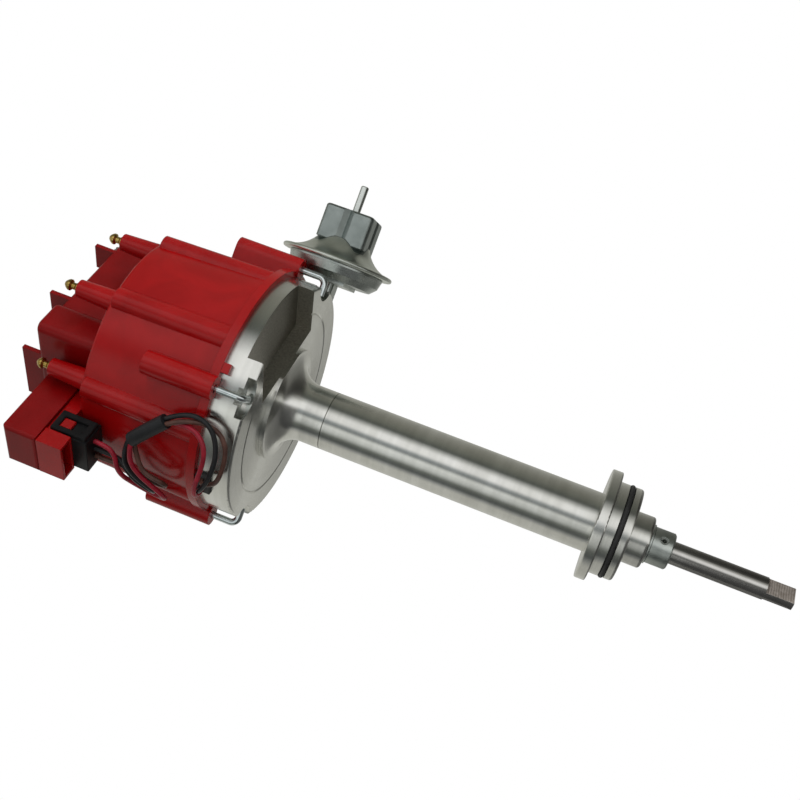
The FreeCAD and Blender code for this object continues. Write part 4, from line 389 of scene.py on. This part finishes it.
# Control points, each as its azimuth in degrees, its stand off the bowl's radius and its rise over the rim
WIRE_ROUTES = {
    "red": [
        (-130.55, 8.12, 60.3), (-130.55, 8.12, 48.9), (-133.2, 9.2, 43.7), (-138.38, 10.86, 42.3),
        (-143.99, 10.21, 40.1), (-150.51, 7.8, 36.7), (-155.99, 6.79, 31.1), (-157.53, 7.0, 23.5),
        (-153.5, 8.37, 17.1), (-147.8, 10.37, 15.1), (-142.58, 11.56, 17.9), (-139.41, 11.59, 23.3),
        (-136.2, 11.65, 28.5), (-132.59, 11.42, 32.5), (-127.61, 11.39, 33.8), (-121.48, 11.04, 33.7),
        (-115.22, 8.53, 25.9), (-108.3, 8.33, 16.4), (-107.23, 8.6, 7.7), (-107.38, 10.4, -0.5),
        (-111.0, 11.79, -6.5), (-117.04, 12.0, -7.9), (-124.0, 12.14, -6.7), (-130.2, 12.56, -4.7),
        (-136.31, 11.23, -4.1), (-140.32, 6.09, -4.1), (-140.69, -0.26, -4.1),
    ],
    "black": [
        (-135.0, 7.82, 60.3), (-135.0, 7.82, 48.9), (-136.27, 6.99, 41.9), (-139.38, 9.39, 37.1),
        (-143.59, 9.62, 33.1), (-147.61, 9.0, 28.5), (-148.8, 9.16, 21.9), (-143.98, 11.21, 20.9),
        (-141.03, 11.37, 27.5), (-136.81, 11.39, 34.1), (-130.96, 10.99, 37.7), (-120.38, 9.3, 35.7),
        (-114.04, 9.88, 27.7), (-107.25, 9.86, 18.2), (-102.8, 9.56, 8.3), (-101.87, 9.38, -0.1),
        (-104.41, 8.96, -7.1), (-109.5, 8.79, -11.3), (-115.94, 8.78, -12.9), (-123.0, 9.18, -11.9),
        (-129.21, 9.85, -9.5), (-133.98, 9.95, -6.3), (-136.98, 6.38, -4.1), (-137.0, -0.34, -4.1),
    ],
    "brown": [
        (-139.45, 8.12, 60.3), (-139.45, 8.12, 48.9), (-140.61, 6.55, 40.9), (-142.03, 6.33, 34.1),
        (-143.98, 6.27, 27.5), (-144.4, 6.36, 20.5), (-141.84, 7.8, 14.1), (-136.97, 10.62, 14.3),
        (-135.4, 11.35, 21.1), (-133.39, 10.96, 26.7), (-129.4, 9.54, 29.9), (-121.75, 8.33, 33.7),
        (-115.17, 11.26, 25.9), (-108.5, 11.05, 16.4), (-104.82, 9.8, 5.9), (-103.96, 7.4, -2.9),
        (-105.59, 5.77, -10.5), (-109.81, 5.85, -15.5), (-115.78, 6.01, -17.1), (-122.39, 6.39, -16.3),
        (-128.45, 6.19, -14.3), (-131.75, 5.53, -10.3), (-133.65, 5.36, -4.1), (-133.36, -0.22, -4.1),
    ],
}
SLEEVE_ROUTE = [(-121.3, 9.15, 34.0), (-114.82, 9.93, 26.5), (-108.02, 9.79, 17.0)]


def route_point(azimuth, stand, rise):
    """A control point of a route, in metres."""
    turned = math.radians(azimuth)
    reach = BOWL_RADIUS + stand
    return Vector((reach * math.cos(turned), reach * math.sin(turned), BOWL_RIM + rise)) * MM


def vinyl(name, dark, bright):
    """Extruded PVC insulation: a soft shine and a fine tooth."""
    return dull_solid(name, dark, bright, 0.34, 0.6, 0.008, gloss=0.3)


def spline_piece(name, points, diameter, material):
    """A round cord on one smooth spline through given control points."""
    curve = bpy.data.curves.new(name, "CURVE")
    curve.dimensions = "3D"
    curve.bevel_depth = diameter / 2 * MM / POINT_RADIUS
    curve.bevel_resolution = 6
    curve.use_fill_caps = True
    spline = curve.splines.new("NURBS")
    spline.points.add(len(points) - 1)
    for place, point in zip(spline.points, points):
        place.co = (*route_point(*point), 1.0)
        place.radius = POINT_RADIUS
    spline.order_u = 3
    spline.use_endpoint_u = True
    spline.resolution_u = 10
    curve.materials.append(material)
    piece = bpy.data.objects.new(name, curve)
    bpy.context.scene.collection.objects.link(piece)
    return piece


def run_length(piece):
    """The real length of a piece's spline, in metres."""
    depth = piece.data.bevel_depth
    piece.data.bevel_depth = 0.0
    line = bpy.data.meshes.new_from_object(piece)
    piece.data.bevel_depth = depth
    spots = [vertex.co.copy() for vertex in line.vertices]
    bpy.data.meshes.remove(line)
    return sum((after - before).length for before, after in zip(spots, spots[1:]))


sleeve = spline_piece("harness_sleeve", SLEEVE_ROUTE, SLEEVE_DIAMETER,
                      dull_solid("sleeve_vinyl", "#131415", "#1E1F21", 0.45, 1.2, gloss=0.25))
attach(sleeve, ROOT)
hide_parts("wire_sleeve")
for colour, (dark, bright) in WIRE_COLOURS.items():
    route = WIRE_ROUTES[colour]
    wire = spline_piece("harness_wire_" + colour, route, WIRE_DIAMETER,
                        vinyl("vinyl_" + colour, dark, bright))
    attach(wire, ROOT)
    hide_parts("wire_" + colour)
    run_length(wire)


# Latch springs, each carried on its latch's press, with their sizes in millimetres. On the real part they
# shorten as their latches are pushed

SPRING_TURNS = 6
SPRING_WIRE = 1.0
STEPS_PER_TURN = 28
WIRE_SIDES = 10


def helix_piece(name, low, high, wire, turns, material):
    """A round-wire spring that fills the box between two corners, in metres."""
    middle = ((low[0] + high[0]) / 2, (low[1] + high[1]) / 2)
    half = wire / 2
    reach = (high[0] - low[0]) / 2 - half
    rise = high[2] - low[2] - wire
    steps = turns * STEPS_PER_TURN
    spots, faces = [], []
    for step in range(steps + 1):
        turn = math.tau * turns * step / steps
        for side in range(WIRE_SIDES):
            lean = math.tau * side / WIRE_SIDES
            out = reach + half * math.cos(lean)
            spots.append((middle[0] + out * math.cos(turn), middle[1] + out * math.sin(turn),
                          low[2] + half + rise * step / steps + half * math.sin(lean)))
    for step in range(steps):
        here, there = step * WIRE_SIDES, (step + 1) * WIRE_SIDES
        for side in range(WIRE_SIDES):
            after = (side + 1) % WIRE_SIDES
            faces.append((here + side, here + after, there + after, there + side))
    faces.append(tuple(range(WIRE_SIDES)))
    faces.append(tuple(steps * WIRE_SIDES + side for side in reversed(range(WIRE_SIDES))))
    mesh = bpy.data.meshes.new(name)
    mesh.from_pydata(spots, [], faces)
    mesh.materials.append(material)
    for face in mesh.polygons:
        face.use_smooth = len(face.vertices) == 4
    piece = bpy.data.objects.new(name, mesh)
    bpy.context.scene.collection.objects.link(piece)
    return piece


for number in range(1, 5):
    stand_in = f"latch_spring_{number}"
    low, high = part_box(stand_in)
    coil = helix_piece(f"latch_coil_{number}", low, high, SPRING_WIRE * MM, SPRING_TURNS,
                       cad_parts[stand_in].data.materials[0])
    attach(coil, f"latch_{number}_press")
    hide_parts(stand_in)
    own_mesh(coil)


# Harness plug, with the open lever that its lock tab shows through. Its limits out from the shaft's axis,
# across the plug and up are in millimetres, and so is the radius on its edges

PLUG_AZIMUTH = -135.0
PLUG_BODY = ((69.5, 85.0), (-11.8, 10.9), (266.0, 288.0))
PLUG_LEVER = ((71.0, 84.4), (10.7, 13.4), (266.8, 287.6))
PLUG_WINDOW = ((74.2, 81.4), (270.4, 284.2))
PLUG_TAB = ((74.6, 81.0), (10.7, 12.3), (277.6, 284.4))
PLUG_EDGE = 0.3


def plug_spot(out, across, height):
    """A point out from the axis along the plug's azimuth, across it, and up, in metres."""
    turned = math.radians(PLUG_AZIMUTH)
    return Vector((out * math.cos(turned) - across * math.sin(turned),
                   out * math.sin(turned) + across * math.cos(turned), height)) * MM


def block(form, outs, acrosses, heights):
    """A closed block between pairs of limits."""
    spots = [form.verts.new(plug_spot(out, across, height)) for out in outs for across in acrosses
             for height in heights]
    for face in ((0, 1, 3, 2), (4, 6, 7, 5), (0, 4, 5, 1), (2, 3, 7, 6), (0, 2, 6, 4), (1, 5, 7, 3)):
        form.faces.new([spots[corner] for corner in face])


def open_frame(form, outs, acrosses, heights, window_outs, window_heights):
    """A flat frame round a window, open underneath where it stands on the plug."""
    turn = ((0, 0), (1, 0), (1, 1), (0, 1))
    rings = []
    for across in acrosses:
        for sides, ends in ((outs, heights), (window_outs, window_heights)):
            rings.append([form.verts.new(plug_spot(sides[first], across, ends[second]))
                          for first, second in turn])
    outer_low, inner_low, outer_high, inner_high = rings
    for corner in range(4):
        after = (corner + 1) % 4
        form.faces.new([outer_low[corner], outer_low[after], outer_high[after], outer_high[corner]])
        form.faces.new([inner_low[after], inner_low[corner], inner_high[corner], inner_high[after]])
        form.faces.new([outer_high[corner], outer_high[after], inner_high[after], inner_high[corner]])


def moulded_piece(name, form, material):
    """Turns a built form into a piece on the root, with its edges eased as a mould eases them."""
    bmesh.ops.recalc_face_normals(form, faces=form.faces[:])
    bmesh.ops.bevel(form, geom=form.edges[:], offset=PLUG_EDGE * MM, segments=2, affect="EDGES")
    mesh = bpy.data.meshes.new(name)
    form.to_mesh(mesh)
    form.free()
    mesh.materials.append(material)
    piece = bpy.data.objects.new(name, mesh)
    bpy.context.scene.collection.objects.link(piece)
    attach(piece, ROOT)
    return piece


form = bmesh.new()
block(form, *PLUG_BODY)
open_frame(form, *PLUG_LEVER, *PLUG_WINDOW)
plug = moulded_piece("plug_and_lever", form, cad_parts["harness_plug"].data.materials[0])
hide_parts("harness_plug")
form = bmesh.new()
block(form, *PLUG_TAB)
tab = moulded_piece("plug_lock_tab", form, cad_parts["cap"].data.materials[0])


# Studio, with its sizes in metres. The floor and the tent's foot lie a little under the part

MIDDLE = (0.0, 0.0, 0.12)
FLOOR_HALF = 3.0
FLOOR_DROP = 0.0005
TENT_DROP = 0.0003
TENT_RADIUS = 0.95
TENT_TOP = 2.2
TENT_FOOT_HOLE = 0.001
TENT_TOP_HOLE = 0.1
TENT_SIDES = 64

# Lamps, each as its place right, up and back from the middle, its size, and its power in watts
LAMPS = {
    "key_from_above": ((-0.1, 0.9, 0.35), (1.2, 0.5), 7.0),
    "fill_from_camera": ((-0.3, 0.1, 0.9), (0.8, 0.8), 2.5),
}

# Cloths round the part, as (share of a turn, tone): what its turned faces show from end to end
WALL_CLOTHS = [
    (0.00, "#C4C4BE"), (0.03, "#A0A2A0"), (0.065, "#505454"), (0.11, "#70746F"), (0.15, "#D4D7D5"),
    (0.20, "#F4F6F4"), (0.232, "#7C8284"), (0.255, "#9CA2A4"), (0.285, "#FFFFFF"), (0.335, "#FFFFFF"),
    (0.375, "#B4B6B4"), (0.405, "#545854"), (0.46, "#74766E"), (0.52, "#84847C"), (0.60, "#96968F"),
    (0.80, "#C4C4BE"),
]
FLOOR_CLOTHS = [
    (0.00, "#3C3C3C"), (0.10, "#4C4C4C"), (0.18, "#585858"), (0.24, "#747472"), (0.28, "#FFFFFF"),
    (0.32, "#FFFFFF"), (0.36, "#B4B4B0"), (0.41, "#504F4C"), (0.47, "#343432"), (0.57, "#484744"),
    (0.72, "#8A8A86"), (0.90, "#686866"),
]


def bare_tree(holder):
    """The emptied node tree of a material or a world."""
    holder.use_nodes = True
    holder.node_tree.nodes.clear()
    return holder.node_tree


def seen_directly(tree):
    """One for rays from the camera, from a shiny surface or through a clear one, and nothing for others."""
    path = add(tree, "ShaderNodeLightPath").outputs
    seen = add(tree, "ShaderNodeMath", {0: path["Is Camera Ray"], 1: path["Is Glossy Ray"]},
               operation="MAXIMUM").outputs[0]
    return add(tree, "ShaderNodeMath", {0: seen, 1: path["Is Transmission Ray"]},
               operation="MAXIMUM").outputs[0]


def floor():
    """A plain pale floor just under the tang; it keeps the shadow and shows white to camera and metal."""
    material = bpy.data.materials.new("pale_floor")
    tree = bare_tree(material)
    paint = add(tree, "ShaderNodeBsdfDiffuse", {"Color": linear("#E6E6E4")})
    glow = add(tree, "ShaderNodeEmission", {"Color": WHITE, "Strength": 1.0})
    sockets = {0: seen_directly(tree), 1: paint.outputs[0], 2: glow.outputs[0]}
    mixed = add(tree, "ShaderNodeMixShader", sockets)
    add(tree, "ShaderNodeOutputMaterial", {"Surface": mixed.outputs[0]})
    low = cad_box[0][2] - FLOOR_DROP
    mesh = bpy.data.meshes.new("floor")
    mesh.from_pydata([(-FLOOR_HALF, -FLOOR_HALF, low), (FLOOR_HALF, -FLOOR_HALF, low),
                      (FLOOR_HALF, FLOOR_HALF, low), (-FLOOR_HALF, FLOOR_HALF, low)], [], [(0, 1, 2, 3)])
    mesh.materials.append(material)
    piece = bpy.data.objects.new("floor", mesh)
    bpy.context.scene.collection.objects.link(piece)


def surroundings():
    """Pale surroundings: plain soft light, and white where the camera or a shiny surface looks."""
    studio = bpy.data.worlds.new("studio")
    bpy.context.scene.world = studio
    tree = bare_tree(studio)
    strength = add(tree, "ShaderNodeMapRange", {"Value": seen_directly(tree), "To Min": 0.4, "To Max": 1.0})
    light = add(tree, "ShaderNodeBackground", {"Color": WHITE, "Strength": strength.outputs["Result"]})
    add(tree, "ShaderNodeOutputWorld", {"Surface": light.outputs[0]})


def camera():
    """The photograph's camera."""
    lens = bpy.data.cameras.new("camera")
    lens.lens = CAMERA_LENS
    lens.sensor_width = CAMERA_SENSOR
    piece = bpy.data.objects.new("camera", lens)
    bpy.context.scene.collection.objects.link(piece)
    piece.matrix_world = Matrix.Translation(CAMERA_PLACE) @ CAMERA_AXES.to_4x4()
    bpy.context.scene.camera = piece


def cloth(name, tones):
    """A lit cloth whose tone changes round the part's axis."""
    material = bpy.data.materials.new(name)
    tree = bare_tree(material)
    spot = add(tree, "ShaderNodeTexCoord").outputs["Object"]
    turn = add(tree, "ShaderNodeTexGradient", {"Vector": spot}, gradient_type="RADIAL")
    tone = add(tree, "ShaderNodeValToRGB", {"Fac": turn.outputs["Fac"]}, tones)
    glow = add(tree, "ShaderNodeEmission", {"Color": tone.outputs["Color"], "Strength": 1.0})
    add(tree, "ShaderNodeOutputMaterial", {"Surface": glow.outputs[0]})
    return material


def tent():
    """The photographer's tent of pale and grey cloths, which only shiny surfaces show."""
    low = cad_box[0][2] - TENT_DROP
    profile = [(TENT_FOOT_HOLE, low), (TENT_RADIUS, low), (TENT_RADIUS, TENT_TOP), (TENT_TOP_HOLE, TENT_TOP)]
    turns = [math.tau * step / TENT_SIDES for step in range(TENT_SIDES)]
    spots = [(reach * math.cos(turn), reach * math.sin(turn), height)
             for reach, height in profile for turn in turns]
    faces = []
    for ring in range(len(profile) - 1):
        here, there = ring * TENT_SIDES, (ring + 1) * TENT_SIDES
        for step in range(TENT_SIDES):
            after = (step + 1) % TENT_SIDES
            faces.append((here + step, here + after, there + after, there + step))
    mesh = bpy.data.meshes.new("tent")
    mesh.from_pydata(spots, [], faces)
    mesh.materials.append(cloth("floor_cloth", FLOOR_CLOTHS))
    mesh.materials.append(cloth("wall_cloth", WALL_CLOTHS))
    for face in mesh.polygons:
        face.material_index = 0 if face.index < TENT_SIDES else 1
    piece = bpy.data.objects.new("tent", mesh)
    piece.visible_camera = False
    piece.visible_diffuse = False
    piece.visible_shadow = False
    bpy.context.scene.collection.objects.link(piece)


def softbox(name, place, size, power):
    """A large soft lamp that looks at the part; shiny surfaces show the tent in its place."""
    lamp = bpy.data.lights.new(name, "AREA")
    lamp.shape = "RECTANGLE"
    lamp.size, lamp.size_y = size
    lamp.energy = power
    piece = bpy.data.objects.new(name, lamp)
    piece.visible_glossy = False
    bpy.context.scene.collection.objects.link(piece)
    stand = Vector(MIDDLE) + CAMERA_AXES @ Vector(place)
    away = (stand - Vector(MIDDLE)).normalized()
    piece.matrix_world = Matrix.Translation(stand) @ away.to_track_quat("Z", "Y").to_matrix().to_4x4()


floor()
surroundings()
camera()
tent()
for name, (place, size, power) in LAMPS.items():
    softbox(name, place, size, power)
bpy.context.scene.view_settings.view_transform = "Standard"
